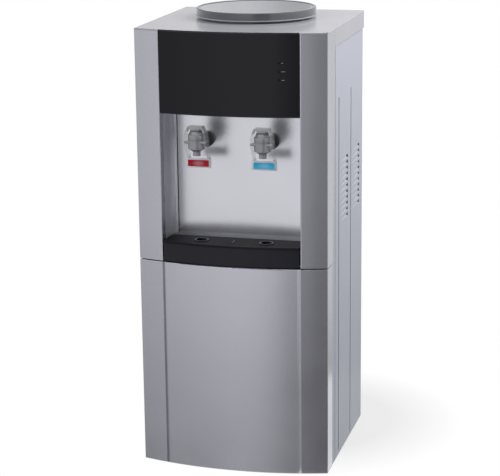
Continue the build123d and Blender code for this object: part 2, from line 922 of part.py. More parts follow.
# Tap rose: the round black collar on the back plate
def tap_rose(x):
    with BuildPart() as rose:
        with BuildSketch(upright(plate_front)):
            with Locations((x, shank_level)):
                Circle(rose_radius)
        extrude(amount=rose_depth)
        chamfer(rose.edges().group_by(Axis.Y)[0], length=rose_chamfer)
        with BuildSketch(upright(plate_front)):
            with Locations((x, shank_level)):
                Circle(shank_radius + fit_gap / 2)
        extrude(amount=rose_depth, mode=Mode.SUBTRACT)
    return rose


# Tap nut: clamps the shank behind the niche
def tap_nut(x):
    with BuildPart() as nut:
        with BuildSketch(upright(liner_back)):
            with Locations((x, shank_level)):
                RegularPolygon(nut_flats / 2, 6, major_radius=False)
                Circle(shank_radius + fit_gap / 2, mode=Mode.SUBTRACT)
        extrude(amount=-nut_depth)
    return nut


# Bottle funnel: the light bowl that drops through the cover
cover_hole = funnel_body_radius + seat_room
rim_radius = collar_radius - collar_wall - fit_gap
neck_inner = neck_radius - funnel_wall
neck_bottom = body_top - neck_drop
rim_top = collar_top - rim_step
rim_inner = rim_radius - funnel_wall
ledge_radius = rim_radius + fit_gap + ledge_lap
seat_ring_radius = funnel_body_radius + seat_ring_lap
bowl_middle = (rim_inner + neck_inner) / 2 + bowl_lean
bowl_level = (rim_top + neck_top) / 2 - bowl_sag
spike_seat = neck_bottom + funnel_wall
seat_axis = Axis((0, seat_y, 0), (0, 0, 1))
with BuildPart() as bottle_funnel:
    with BuildSketch(upright(seat_y)):
        with BuildLine():
            Polyline(
                (neck_radius, neck_bottom),
                (neck_radius, neck_top - funnel_wall),
                (funnel_body_radius, body_top - funnel_wall),
                (funnel_body_radius, body_top),
                (seat_ring_radius, body_top),
                (seat_ring_radius, body_top + seat_ring_height),
                (ledge_radius, body_top + seat_ring_height),
                (ledge_radius, collar_bottom),
                (rim_radius, collar_bottom),
                (rim_radius, rim_top),
                (rim_inner, rim_top),
            )
            ThreePointArc(
                (rim_inner, rim_top),
                (bowl_middle, bowl_level),
                (neck_inner, neck_top),
            )
            Polyline(
                (neck_inner, neck_top),
                (neck_inner, spike_seat),
                (neck_inner - funnel_wall, spike_seat),
                (neck_inner - funnel_wall, neck_bottom),
                (neck_radius, neck_bottom),
            )
        make_face()
    revolve(axis=seat_axis)

# Bottle collar: the dark band round the top of the funnel
with BuildPart() as bottle_collar:
    with BuildSketch(upright(seat_y)):
        with Locations((collar_radius - collar_wall / 2, (collar_bottom + collar_top) / 2)):
            Rectangle(collar_wall, collar_height)
    revolve(axis=seat_axis)
    fillet(bottle_collar.edges().group_by(Axis.Z)[-1], radius=collar_round)

# Feed spike: hollow post that opens the bottle's cap, with flow holes in its base
spike_top = spike_seat + spike_base + spike_rise
with BuildPart() as feed_spike:
    with BuildSketch(Plane.XY.offset(spike_seat)):
        with Locations((0, seat_y)):
            Circle(neck_inner - fit_gap)
        flow_ring = (neck_inner + spike_radius) / 2
        with Locations((0, seat_y)):
            with PolarLocations(flow_ring, flow_hole_count):
                Circle(flow_hole_radius, mode=Mode.SUBTRACT)
    extrude(amount=spike_base)
    with BuildSketch(Plane.XY.offset(spike_seat + spike_base)):
        with Locations((0, seat_y)):
            Circle(spike_radius)
    extrude(amount=spike_rise - spike_tip)
    with BuildSketch(Plane.XY.offset(spike_top - spike_tip)):
        with Locations((0, seat_y)):
            Circle(spike_radius)
    extrude(amount=spike_tip, taper=spike_taper)
    with BuildSketch(Plane.XY.offset(spike_seat)):
        with Locations((0, seat_y)):
            Circle(spike_bore)
    extrude(amount=spike_base + spike_rise, mode=Mode.SUBTRACT)

# Top cover: bowed lid with side and rear skirts and the seat opening
with BuildPart() as top_cover:
    with BuildSketch(Plane.XY.offset(cover_bottom)):
        add(bow_slab(half_width, 0, rear))
    extrude(amount=cover_wall)
    with BuildSketch(Plane.XY.offset(cover_bottom)):
        skirt_front = return_rear + fit_gap
        with Locations((0, (skirt_front + rear) / 2)):
            Rectangle(body_width, rear - skirt_front)
        cut_front = skirt_front - panel_inset
        with Locations((0, (cut_front + rear_skirt) / 2)):
            Rectangle(2 * skirt_inner, rear_skirt - cut_front, mode=Mode.SUBTRACT)
    extrude(amount=cover_wall - skirt_height)
    lid_edges = top_cover.edges().group_by(Axis.Z)[-1]
    fillet(lid_edges, radius=corner_round)
    with BuildSketch(Plane.XY.offset(cover_bottom)):
        with Locations((0, seat_y)):
            Circle(cover_hole)
    extrude(amount=cover_wall, mode=Mode.SUBTRACT)

# Cabinet liner: the storage box with its front flange and shelf ledges
rim_width = gasket_inset + gasket_width + opening_margin
opening_half = half_width - rim_width
opening_low = door_bottom + rim_width
opening_high = door_top - rim_width
shelf_bottom = opening_low + shelf_level
ledge_middle = (cabinet_front + ledge_inset + cabinet_rear) / 2
ledge_span = cabinet_depth - ledge_inset
with BuildPart() as cabinet_liner:
    with BuildSketch(upright(cabinet_front)):
        with Locations((0, (foot_height + upper_bottom) / 2)):
            Rectangle(2 * panel_inner, upper_bottom - foot_height)
    extrude(amount=-liner_wall)
    opening_middle = (opening_low + opening_high) / 2
    with BuildSketch(upright(cabinet_front)):
        with Locations((0, opening_middle)):
            Rectangle(2 * (opening_half + liner_wall), opening_high - opening_low + 2 * liner_wall)
    extrude(amount=-(cabinet_depth + liner_wall))
    with BuildSketch(upright(cabinet_front)):
        with Locations((0, opening_middle)):
            Rectangle(2 * opening_half, opening_high - opening_low)
    extrude(amount=-cabinet_depth, mode=Mode.SUBTRACT)
    for ledge_side in (-1, 1):
        with BuildSketch(Plane.XY.offset(shelf_bottom)):
            with Locations((ledge_side * (opening_half - ledge_width / 2), ledge_middle)):
                Rectangle(ledge_width, ledge_span)
        extrude(amount=-ledge_wall)

# Storage shelf: a slotted plate on the liner's ledges
with BuildPart() as storage_shelf:
    shelf_half = opening_half - shelf_gap
    with BuildSketch(Plane.XY.offset(shelf_bottom)):
        with Locations((0, ledge_middle)):
            Rectangle(2 * shelf_half, ledge_span - 2 * shelf_gap)
            with GridLocations(0, ledge_span / (slot_count + 1), 1, slot_count):
                SlotOverall(2 * (shelf_half - slot_margin), slot_width, mode=Mode.SUBTRACT)
    extrude(amount=ledge_wall)

# Middle deck: steel floor of the upper compartment
suction_x = riser_x
suction_y = cabinet_rear + liner_wall + suction_radius + suction_room
with BuildPart() as mid_deck:
    with BuildSketch(Plane.XY.offset(upper_bottom)):
        with Locations((0, (cabinet_front + bay_front) / 2)):
            Rectangle(2 * deck_half, bay_front - cabinet_front)
        with Locations((0, tab_center)):
            Rectangle(2 * panel_inner, tab_length)
        with Locations((suction_x, suction_y)):
            Circle(suction_radius + pipe_gap, mode=Mode.SUBTRACT)
    extrude(amount=base_sheet)

# Tank deck: the shelf that carries the insulated cold tank
cold_outlet_y = seat_y - outlet_ahead
deck_holes = [(tap_x, cold_outlet_y), (link_x, hot_y)]
with BuildPart() as tank_deck:
    with BuildSketch(Plane.XY.offset(foam_bottom)):
        deck_front = seat_y - cold_radius
        with Locations((0, (deck_front + bay_front) / 2)):
            Rectangle(2 * deck_half, bay_front - deck_front)
        with Locations((0, tab_center)):
            Rectangle(2 * panel_inner, tab_length)
        with Locations(*deck_holes):
            Circle(hose_radius + hose_gap, mode=Mode.SUBTRACT)
        with Locations((suction_x, suction_y)):
            Circle(suction_radius + pipe_gap, mode=Mode.SUBTRACT)
    extrude(amount=-base_sheet)

# Cold tank: thin steel pot with a mouth for the funnel and two bottom spouts
spout_bottom = cold_bottom - spout_length
with BuildPart() as cold_tank:
    with BuildSketch(Plane.XY.offset(cold_bottom)):
        with Locations((0, seat_y)):
            Circle(cold_radius)
    extrude(amount=cold_height)
    with BuildSketch(Plane.XY.offset(cold_bottom)):
        with Locations(*deck_holes):
            Circle(spout_radius)
    extrude(amount=-spout_length)
    with BuildSketch(Plane.XY.offset(cold_bottom + tank_wall)):
        with Locations((0, seat_y)):
            Circle(cold_radius - tank_wall)
    extrude(amount=cold_height - 2 * tank_wall, mode=Mode.SUBTRACT)
    with BuildSketch(Plane.XY.offset(cold_top - tank_wall)):
        with Locations((0, seat_y)):
            Circle(neck_radius + tank_mouth_gap)
    extrude(amount=tank_wall, mode=Mode.SUBTRACT)
    with BuildSketch(Plane.XY.offset(spout_bottom)):
        with Locations(*deck_holes):
            Circle(spout_radius - tank_wall)
    extrude(amount=spout_length + tank_wall, mode=Mode.SUBTRACT)

# Evaporator sleeve: the cooling jacket round the cold tank
with BuildPart() as evaporator_sleeve:
    with BuildSketch(Plane.XY.offset(cold_bottom + sleeve_margin)):
        with Locations((0, seat_y)):
            Circle(sleeve_outer)
            Circle(sleeve_inner, mode=Mode.SUBTRACT)
    extrude(amount=cold_height - 2 * sleeve_margin)

# Tank insulation: foam cup round the tank and sleeve
suction_start_level = cold_bottom + sleeve_margin + 2 * suction_radius
with BuildPart() as tank_insulation:
    with BuildSketch(Plane.XY.offset(foam_bottom)):
        with Locations((0, seat_y)):
            Circle(foam_outer)
    extrude(amount=foam_floor + cold_height)
    with BuildSketch(Plane.XY.offset(cold_bottom)):
        with Locations((0, seat_y)):
            Circle(foam_inner)
    extrude(amount=cold_height, mode=Mode.SUBTRACT)
    with BuildSketch(Plane.XY.offset(foam_bottom)):
        with Locations(*deck_holes):
            Circle(hose_radius + hose_gap)
    extrude(amount=foam_floor, mode=Mode.SUBTRACT)
    with BuildSketch(Plane.YZ):
        with Locations((suction_y, suction_start_level)):
            Circle(suction_radius + pipe_gap)
    extrude(amount=half_width, mode=Mode.SUBTRACT)

# Hot tank: domed steel vessel on a skirt, with outlet, inlet and drain pipes
hot_axis = Axis((hot_x, hot_y, 0), (0, 0, 1))
link_bottom = deck_top + link_level
drain_z = hot_bottom + hot_dome + spout_radius
drain_end = bay_rear + spout_length
with BuildPart() as hot_tank:
    with BuildSketch(upright(hot_y)):
        with BuildLine():
            Polyline(
                (hot_x, hot_bottom),
                (hot_x + hot_radius - hot_dome, hot_bottom),
            )
            RadiusArc(
                (hot_x + hot_radius - hot_dome, hot_bottom),
                (hot_x + hot_radius, hot_bottom + hot_dome),
                -hot_dome,
            )
            Line((hot_x + hot_radius, hot_bottom + hot_dome), (hot_x + hot_radius, hot_top - hot_dome))
            RadiusArc(
                (hot_x + hot_radius, hot_top - hot_dome),
                (hot_x + hot_radius - hot_dome, hot_top),
                -hot_dome,
            )
            Polyline(
                (hot_x + hot_radius - hot_dome, hot_top),
                (hot_x + spout_radius, hot_top),
                (hot_x + spout_radius, hot_top + spout_length),
                (hot_x, hot_top + spout_length),
                (hot_x, hot_bottom),
            )
        make_face()
    revolve(axis=hot_axis)
    offset(openings=hot_tank.faces().sort_by(Axis.Z)[-1], amount=-tank_wall)
    with BuildSketch(Plane.XY.offset(deck_top)):
        with Locations((hot_x, hot_y)):
            Circle(hot_skirt_radius)
            Circle(hot_skirt_radius - tank_wall, mode=Mode.SUBTRACT)
    extrude(amount=hot_skirt)
    with BuildSketch(Plane.YZ.offset(hot_x + hot_radius - tank_wall)):
        with Locations((hot_y, link_bottom)):
            Circle(spout_radius)
            Circle(spout_radius - tank_wall, mode=Mode.SUBTRACT)
    extrude(amount=tank_wall + spout_length)
    with BuildSketch(upright(hot_y + hot_radius - tank_wall)):
        with Locations((hot_x, drain_z)):
            Circle(spout_radius)
            Circle(spout_radius - tank_wall, mode=Mode.SUBTRACT)
    extrude(amount=hot_y + hot_radius - tank_wall - drain_end)

# Heater band: clamped round the hot tank
with BuildPart() as heater_band:
    with BuildSketch(Plane.XY.offset((hot_bottom + hot_top - band_height) / 2)):
        with Locations((hot_x, hot_y)):
            Circle(hot_radius + fit_gap + band_wall)
            Circle(hot_radius + fit_gap, mode=Mode.SUBTRACT)
    extrude(amount=band_height)

# Water hoses: cold tank to cold tap, hot tank to hot tap, cold tank to hot tank
cold_hose = bent_tube(
    [
        (tap_x, cold_outlet_y, spout_bottom),
        (tap_x, cold_outlet_y, shank_level),
        (tap_x, shank_end, shank_level),
    ],
    hose_bend, hose_radius, hose_bore,
)
hot_hose = bent_tube(
    [
        (hot_x, hot_y, hot_top + spout_length),
        (hot_x, hot_y, shank_level),
        (hot_x, shank_end, shank_level),
    ],
    hose_bend, hose_radius, hose_bore,
)
link_end = hot_x + hot_radius + spout_length
link_hose = bent_tube(
    [
        (link_x, hot_y, spout_bottom),
        (link_x, hot_y, link_bottom),
        (link_end, hot_y, link_bottom),
    ],
    hose_bend, hose_radius, hose_bore,
)

# Compressor: domed steel can on a foot plate, with its terminal box
with BuildPart() as compressor:
    with BuildSketch(Plane.XY.offset(compressor_bottom)):
        with Locations((compressor_x, compressor_y)):
            RectangleRounded(compressor_width, compressor_depth, compressor_corner)
    extrude(amount=compressor_height)
    fillet(compressor.edges().group_by(Axis.Z)[-1], radius=compressor_round)
    with BuildSketch(Plane.XY.offset(compressor_bottom - foot_plate)):
        with Locations((compressor_x, compressor_y)):
            RectangleRounded(
                mount_spread_x + 2 * foot_plate_edge, mount_spread_y + 2 * foot_plate_edge, foot_plate_edge
            )
            with GridLocations(mount_spread_x, mount_spread_y, 2, 2):
                Circle(mount_stud + fit_gap, mode=Mode.SUBTRACT)
    extrude(amount=foot_plate)
    with BuildSketch(Plane.XY.offset(compressor_bottom + compressor_wall)):
        with Locations((compressor_x, compressor_y)):
            RectangleRounded(
                compressor_width - 2 * compressor_wall,
                compressor_depth - 2 * compressor_wall,
                compressor_corner - compressor_wall,
            )
    extrude(amount=compressor_height - 2 * compressor_wall, mode=Mode.SUBTRACT)
    terminal_x = compressor_x - compressor_width / 2 + terminal_lap - terminal_depth / 2
    with BuildSketch(Plane.XY.offset(compressor_bottom + terminal_rise)):
        with Locations((terminal_x, compressor_y)):
            Rectangle(terminal_depth, terminal_width)
    extrude(amount=terminal_height)

# Compressor mounts: rubber bushes between the base pan and the foot plate
with BuildPart() as compressor_mounts:
    with BuildSketch(Plane.XY.offset(foot_height + base_sheet)):
        with Locations((compressor_x, compressor_y)):
            with GridLocations(mount_spread_x, mount_spread_y, 2, 2):
                Circle(mount_radius)
    extrude(amount=mount_height)
    with BuildSketch(Plane.XY.offset(foot_height + base_sheet + mount_height)):
        with Locations((compressor_x, compressor_y)):
            with GridLocations(mount_spread_x, mount_spread_y, 2, 2):
                Circle(mount_stud)
    extrude(amount=foot_plate + stud_proud)

# Condenser tube: riser from the compressor, flat serpentine, outlet to the drier
discharge_z = compressor_bottom + discharge_level
bend = coil_pitch / 2
with BuildPart() as condenser_tube:
    with BuildLine() as coil_path:
        riser_points = [
            (can_side + fit_gap, compressor_y, discharge_z),
            (riser_x, compressor_y, discharge_z),
            (riser_x, condenser_y, discharge_z),
            (riser_x, condenser_y, coil_top),
            (coil_right, condenser_y, coil_top),
        ]
        FilletPolyline(*riser_points, radius=riser_bend)
        run_start = coil_right
        for run in range(coil_runs):
            level = coil_top - run * coil_pitch
            run_end = coil_left if run % 2 == 0 else coil_right
            Line((run_start, condenser_y, level), (run_end, condenser_y, level))
            if run < coil_runs - 1:
                bulge = bend if run % 2 else -bend
                ThreePointArc(
                    (run_end, condenser_y, level),
                    (run_end + bulge, condenser_y, level - bend),
                    (run_end, condenser_y, level - coil_pitch),
                )
            run_start = run_end
        outlet_points = [
            (coil_left, condenser_y, coil_bottom),
            (drier_x, condenser_y, coil_bottom),
            (drier_x, condenser_y, drier_top),
        ]
        FilletPolyline(*outlet_points, radius=riser_bend)
    with BuildSketch(Plane(origin=coil_path.line @ 0, z_dir=coil_path.line % 0)):
        Circle(coil_radius)
    sweep(path=coil_path.line)

# Condenser wires: vertical rods on both faces of the serpentine
wire_offset = coil_radius + wire_radius + running_gap
wire_count = int((coil_right - coil_left - 2 * wire_inset) / wire_pitch) + 1
wire_middle = (coil_left + coil_right) / 2
with BuildPart() as condenser_wires:
    with BuildSketch(Plane.XY.offset(coil_bottom - wire_end)):
        with Locations((wire_middle, condenser_y)):
            with GridLocations(wire_pitch, 2 * wire_offset, wire_count, 2):
                Circle(wire_radius)
    extrude(amount=coil_top - coil_bottom + 2 * wire_end)

# Filter drier: copper capsule at the condenser's outlet
with BuildPart() as filter_drier:
    with BuildSketch(Plane.XY.offset(drier_top - drier_length)):
        with Locations((drier_x, condenser_y)):
            Circle(drier_radius)
    extrude(amount=drier_length)
    chamfer(filter_drier.edges(), length=drier_chamfer)

# Suction line: from the evaporator sleeve down to the compressor
suction_z = compressor_bottom + suction_level
suction_line = bent_tube(
    [
        (sleeve_outer + fit_gap, suction_y, suction_start_level),
        (suction_x, suction_y, suction_start_level),
        (suction_x, suction_y, suction_z),
        (suction_x, compressor_y, suction_z),
        (can_side + fit_gap, compressor_y, suction_z),
    ],
    riser_bend, suction_radius,
)

# Rear panel: upper back sheet with standoffs for the condenser
rear_top = cover_bottom - fit_gap
wire_front = condenser_y - wire_offset - wire_radius
switch_levels = [upper_bottom + switch_rise, upper_bottom + switch_rise + switch_pitch]
gland_z = upper_bottom + gland_rise
screw_levels = (upper_bottom + screw_margin, (upper_bottom + rear_top) / 2, rear_top - screw_top_drop)
screw_spots = []
for screw_side in (-1, 1):
    for screw_z in screw_levels:
        screw_spots.append((screw_side * (panel_inner - screw_inset), screw_z))
with BuildPart() as rear_panel:
    with BuildSketch(upright(bay_front)):
        with Locations((0, (upper_bottom + rear_top) / 2)):
            Rectangle(2 * panel_inner, rear_top - upper_bottom)
        for switch_z in switch_levels:
            with Locations((switch_x, switch_z)):
                Rectangle(switch_width + fit_gap, switch_height + fit_gap, mode=Mode.SUBTRACT)
        with Locations((gland_x, gland_z)):
            Circle(gland_radius + fit_gap, mode=Mode.SUBTRACT)
        with Locations((hot_x, drain_z)):
            Circle(spout_radius + fit_gap, mode=Mode.SUBTRACT)
        with Locations(*screw_spots):
            Circle(screw_radius + fit_gap / 2, mode=Mode.SUBTRACT)
    extrude(amount=-rear_sheet)
    with BuildSketch(upright(bay_rear)):
        with Locations((wire_middle, (coil_bottom + coil_top) / 2)):
            with GridLocations(2 * standoff_x, coil_top - coil_bottom - coil_pitch, 2, 2):
                Rectangle(standoff_size, standoff_size)
    extrude(amount=bay_rear - wire_front + fit_gap)

# Panel screws: pan heads on the rear panel
with BuildPart() as panel_screws:
    with BuildSketch(upright(bay_rear)):
        with Locations(*screw_spots):
            Circle(screw_head)
    extrude(amount=-screw_head_rise)
    with BuildSketch(upright(bay_rear)):
        with Locations(*screw_spots):
            Circle(screw_radius)
    extrude(amount=screw_length)

# Cord gland: the power inlet bush in the rear panel
with BuildPart() as cord_gland:
    with BuildSketch(upright(bay_front - gland_inside)):
        with Locations((gland_x, gland_z)):
            Circle(gland_radius)
    extrude(amount=-(gland_inside + rear_sheet + gland_outside))
    with BuildSketch(upright(bay_rear)):
        with Locations((gland_x, gland_z)):
            Circle(gland_flange)
    extrude(amount=-gland_flange_wall)
    with BuildSketch(upright(bay_front - gland_inside)):
        with Locations((gland_x, gland_z)):
            Circle(gland_bore)
    extrude(amount=-(gland_inside + rear_sheet + gland_outside), mode=Mode.SUBTRACT)

# Switch housing: two rocker frames set in the rear panel
with BuildPart() as switch_housing:
    for switch_z in switch_levels:
        with BuildSketch(upright(bay_rear + switch_wall)):
            with Locations((switch_x, switch_z)):
                Rectangle(switch_width, switch_height)
        extrude(amount=switch_depth)
        with BuildSketch(upright(bay_rear)):
            with Locations((switch_x, switch_z)):
                Rectangle(switch_width + 2 * switch_wall, switch_height + 2 * switch_wall)
        extrude(amount=-switch_wall)
        with BuildSketch(upright(bay_rear + switch_wall)):
            with Locations((switch_x, switch_z)):
                Rectangle(switch_width - 2 * switch_wall, switch_height - 2 * switch_wall)
        extrude(amount=switch_depth - switch_wall, mode=Mode.SUBTRACT)


# Rocker switch: a shallow key at rest on its off side, turning about its middle
def rocker_switch(level):
    pivot = (bay_rear + switch_wall - rocker_body / 2, level)
    upright_key = Plane(origin=(switch_x, *pivot), x_dir=(1, 0, 0), z_dir=(0, 1, 0))
    tilted = upright_key.rotated((rocker_tilt, 0, 0))
    key_width = switch_width - 2 * switch_wall - 2 * rocker_side_gap
    key_height = switch_height - 2 * switch_wall - 2 * rocker_end_gap
    with BuildPart() as rocker:
        with BuildSketch(tilted):
            Rectangle(key_width, key_height)
        extrude(amount=rocker_body)
        with BuildSketch(Plane.YZ.offset(switch_x - key_width / 2)):
            with Locations(pivot):
                Circle(rocker_hub)
        extrude(amount=key_width)
    return rocker


heat_switch = rocker_switch(switch_levels[1])
cool_switch = rocker_switch(switch_levels[0])

# Drain plug: the cap on the hot tank's drain pipe
with BuildPart() as drain_plug:
    with BuildSketch(upright(bay_rear + fit_gap)):
        with Locations((hot_x, drain_z)):
            Circle(drain_plug_radius)
    extrude(amount=-drain_plug_length)
    chamfer(drain_plug.edges().group_by(Axis.Y)[-1], length=drain_plug_chamfer)
    with BuildSketch(upright(bay_rear + fit_gap)):
        with Locations((hot_x, drain_z)):
            Circle(spout_radius + running_gap)
    extrude(amount=-(drain_end - bay_rear), mode=Mode.SUBTRACT)

# Door skin: bowed moulding with two bevelled grooves and hinge bosses
with BuildPart() as door_skin:
    with BuildSketch(Plane.XY.offset(door_bottom)) as door_plan:
        add(bow_slab(half_width, 0, door_rear))
        fillet(door_plan.vertices().group_by(Axis.Y)[0], radius=corner_round)
    extrude(amount=door_height)
    door_levels = door_skin.edges().group_by(Axis.Z)
    door_rims = door_levels[0].sort_by(Axis.Y)[:-1] + door_levels[-1].sort_by(Axis.Y)[:-1]
    fillet(door_rims, radius=door_round)
    with BuildSketch(Plane.XY.offset(door_bottom + door_wall)):
        add(bow_slab(half_width - door_wall, door_wall, door_rear))
    extrude(amount=door_height - 2 * door_wall, mode=Mode.SUBTRACT)
    hinge_spot = (hinge_x, hinge_y)
    with BuildSketch(Plane.XY.offset(door_bottom)):
        with Locations(hinge_spot):
            Circle(pin_boss)
    extrude(amount=pin_engage + door_wall)
    with BuildSketch(Plane.XY.offset(door_top)):
        with Locations(hinge_spot):
            Circle(pin_boss)
    extrude(amount=-pin_engage - door_wall)
    with BuildSketch(Plane.XY.offset(door_bottom)):
        with Locations(hinge_spot):
            Circle(pin_radius + running_gap)
    extrude(amount=pin_engage + fit_gap, mode=Mode.SUBTRACT)
    with BuildSketch(Plane.XY.offset(door_top)):
        with Locations(hinge_spot):
            Circle(pin_radius + running_gap)
    extrude(amount=-pin_engage - fit_gap, mode=Mode.SUBTRACT)
    for groove_side in (-1, 1):
        with BuildSketch(Plane.XY.offset(door_bottom)):
            with BuildLine():
                near = door_groove_x - door_groove_width / 2
                far = door_groove_x + door_groove_width / 2
                Polyline(
                    (groove_side * near, bow_y(near)),
                    (groove_side * door_groove_x, bow_y(door_groove_x) + door_groove_depth),
                    (groove_side * far, bow_y(far)),
                    (groove_side * far, front_apex),
                    (groove_side * near, front_apex),
                    close=True,
                )
            make_face()
        extrude(amount=door_height, mode=Mode.SUBTRACT)

# Door liner: the inner panel with a dished centre, let into the skin
with BuildPart() as door_liner:
    liner_low = door_bottom + door_wall + fit_gap
    liner_high = door_top - door_wall - fit_gap
    liner_half_width = half_width - door_wall - fit_gap
    with BuildSketch(upright(door_rear)):
        with Locations((0, (liner_low + liner_high) / 2)):
            Rectangle(2 * liner_half_width, liner_high - liner_low)
    extrude(amount=door_wall)
    dish_width = 2 * (liner_half_width - pan_margin)
    dish_height = liner_high - liner_low - 2 * pan_margin
    with BuildSketch(upright(door_rear)):
        with Locations((0, (liner_low + liner_high) / 2)):
            Rectangle(dish_width, dish_height)
    extrude(amount=pan_depth)
    with BuildSketch(upright(door_rear)):
        with Locations((0, (liner_low + liner_high) / 2)):
            Rectangle(dish_width - 2 * liner_wall, dish_height - 2 * liner_wall)
    extrude(amount=pan_depth - liner_wall, mode=Mode.SUBTRACT)

# Door gasket: soft ring between the door and the cabinet flange
with BuildPart() as door_gasket:
    gasket_outer = 2 * (half_width - gasket_inset)
    gasket_tall = door_height - 2 * gasket_inset
    with BuildSketch(upright(door_rear)):
        with Locations((0, (door_bottom + door_top) / 2)):
            Rectangle(gasket_outer, gasket_tall)
            Rectangle(gasket_outer - 2 * gasket_width, gasket_tall - 2 * gasket_width, mode=Mode.SUBTRACT)
    extrude(amount=fit_gap - door_gap)

# Hinge brackets: steel plates below and above the door that hold the pins
bracket_front = hinge_y - bracket_edge_front
bracket_center_y = bracket_front + bracket_length / 2
bracket_center_x = (bracket_left + bracket_right) / 2
upper_left = -panel_inner + fold_depth + fit_gap
upper_width = bracket_right - upper_left
with BuildPart() as hinge_brackets:
    with BuildSketch(Plane.XY.offset(foot_height)):
        with Locations((bracket_center_x, bracket_center_y)):
            Rectangle(bracket_width, bracket_length)
        with Locations(hinge_spot):
            Circle(pin_radius, mode=Mode.SUBTRACT)
    extrude(amount=-bracket_wall)
    with BuildSketch(Plane.XY.offset(deck_top)):
        with Locations((upper_left + upper_width / 2, bracket_center_y)):
            Rectangle(upper_width, bracket_length)
        with Locations(hinge_spot):
            Circle(pin_radius, mode=Mode.SUBTRACT)
    extrude(amount=bracket_wall)

# Hinge pins: fixed in the brackets, turning in the door's bosses
with BuildPart() as hinge_pins:
    with BuildSketch(Plane.XY.offset(foot_height - bracket_wall)):
        with Locations(hinge_spot):
            Circle(pin_radius)
    extrude(amount=bracket_wall + door_lift + pin_engage)
    with BuildSketch(Plane.XY.offset(deck_top + bracket_wall)):
        with Locations(hinge_spot):
            Circle(pin_radius)
    extrude(amount=-(bracket_wall + deck_top - door_top + pin_engage))

pieces = {
    "base_pan": base_pan,
    "feet": feet,
    "left_side_panel": left_side_panel,
    "right_side_panel": right_side_panel,
    "rear_panel": rear_panel,
    "panel_screws": panel_screws,
    "top_cover": top_cover,
    "front_frame": front_frame,
    "control_panel": control_panel,
    "indicator_lenses": indicator_lenses,
    "indicator_board": indicator_board,
    "niche_liner": niche_liner,
    "niche_back_plate": niche_back_plate,
    "drip_tray": drip_tray,
    "drip_grate": drip_grate,
    "bottle_collar": bottle_collar,
    "bottle_funnel": bottle_funnel,
    "feed_spike": feed_spike,
    "cold_tank": cold_tank,
    "evaporator_sleeve": evaporator_sleeve,
    "tank_insulation": tank_insulation,
    "tank_deck": tank_deck,
    "hot_tank": hot_tank,
    "heater_band": heater_band,
    "cold_hose": cold_hose,
    "hot_hose": hot_hose,
    "link_hose": link_hose,
    "mid_deck": mid_deck,
    "compressor": compressor,
    "compressor_mounts": compressor_mounts,
    "condenser_tube": condenser_tube,
    "condenser_wires": condenser_wires,
    "filter_drier": filter_drier,
    "suction_line": suction_line,
    "cord_gland": cord_gland,
    "switch_housing": switch_housing,
    "heat_switch": heat_switch,
    "cool_switch": cool_switch,
    "drain_plug": drain_plug,
    "cabinet_liner": cabinet_liner,
    "storage_shelf": storage_shelf,
    "door_skin": door_skin,
    "door_liner": door_liner,
    "door_gasket": door_gasket,
    "hinge_brackets": hinge_brackets,
    "hinge_pins": hinge_pins,
}
for water, x in (("hot", -tap_x), ("cold", tap_x)):
    pieces[f"{water}_tap_body"] = tap_body(x)
    pieces[f"{water}_tap_cap"] = tap_cap(x)
    pieces[f"{water}_tap_plunger"] = tap_plunger(x)
    pieces[f"{water}_tap_lever"] = tap_lever(x)
    pieces[f"{water}_tap_tag"] = tap_tag(x)
    pieces[f"{water}_tap_rose"] = tap_rose(x)
    pieces[f"{water}_tap_nut"] = tap_nut(x)

for label, piece in pieces.items():
    piece.part.label = label
    export_step(piece.part, f"parts/{label}.step")
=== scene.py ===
import json
import math
import bmesh
import bpy
from mathutils import Matrix, Vector


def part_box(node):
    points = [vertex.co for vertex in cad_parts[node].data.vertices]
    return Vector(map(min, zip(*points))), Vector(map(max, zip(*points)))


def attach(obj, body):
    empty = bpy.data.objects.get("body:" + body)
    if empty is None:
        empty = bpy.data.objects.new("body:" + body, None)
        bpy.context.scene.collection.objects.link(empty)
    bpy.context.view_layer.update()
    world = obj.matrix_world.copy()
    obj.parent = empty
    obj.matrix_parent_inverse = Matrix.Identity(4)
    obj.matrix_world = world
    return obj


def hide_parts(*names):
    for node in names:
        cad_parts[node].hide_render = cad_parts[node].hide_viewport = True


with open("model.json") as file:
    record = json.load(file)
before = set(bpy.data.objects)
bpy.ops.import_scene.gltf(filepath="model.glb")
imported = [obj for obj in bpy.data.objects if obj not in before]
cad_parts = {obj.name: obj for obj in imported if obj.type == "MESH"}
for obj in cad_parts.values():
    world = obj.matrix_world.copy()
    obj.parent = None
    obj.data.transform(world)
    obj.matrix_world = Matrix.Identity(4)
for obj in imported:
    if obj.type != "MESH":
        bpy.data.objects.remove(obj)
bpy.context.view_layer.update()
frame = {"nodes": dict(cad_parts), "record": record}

nodes = frame["nodes"]
print("frame loaded with", len(nodes), "nodes")

# shader node helpers

def newMaterial(name):
    material = bpy.data.materials.new(name)
    material.use_nodes = True
    tree = material.node_tree
    return material, tree, tree.nodes["Principled BSDF"]


def feed(tree, sockets, values):
    for socket, value in zip(sockets, values):
        if isinstance(value, bpy.types.NodeSocket):
            tree.links.new(value, socket)
        else:
            socket.default_value = value


def objectCoords(tree):
    return tree.nodes.new("ShaderNodeTexCoord").outputs["Object"]


def splitOf(tree, vector):
    split = tree.nodes.new("ShaderNodeSeparateXYZ")
    tree.links.new(vector, split.inputs["Vector"])
    return split.outputs


def lengthOf(tree, vector):
    length = tree.nodes.new("ShaderNodeVectorMath")
    length.operation = "LENGTH"
    tree.links.new(vector, length.inputs[0])
    return length.outputs["Value"]


def mathOn(tree, operation, *values, clamp=False):
    node = tree.nodes.new("ShaderNodeMath")
    node.operation = operation
    node.use_clamp = clamp
    feed(tree, node.inputs, values)
    return node.outputs[0]


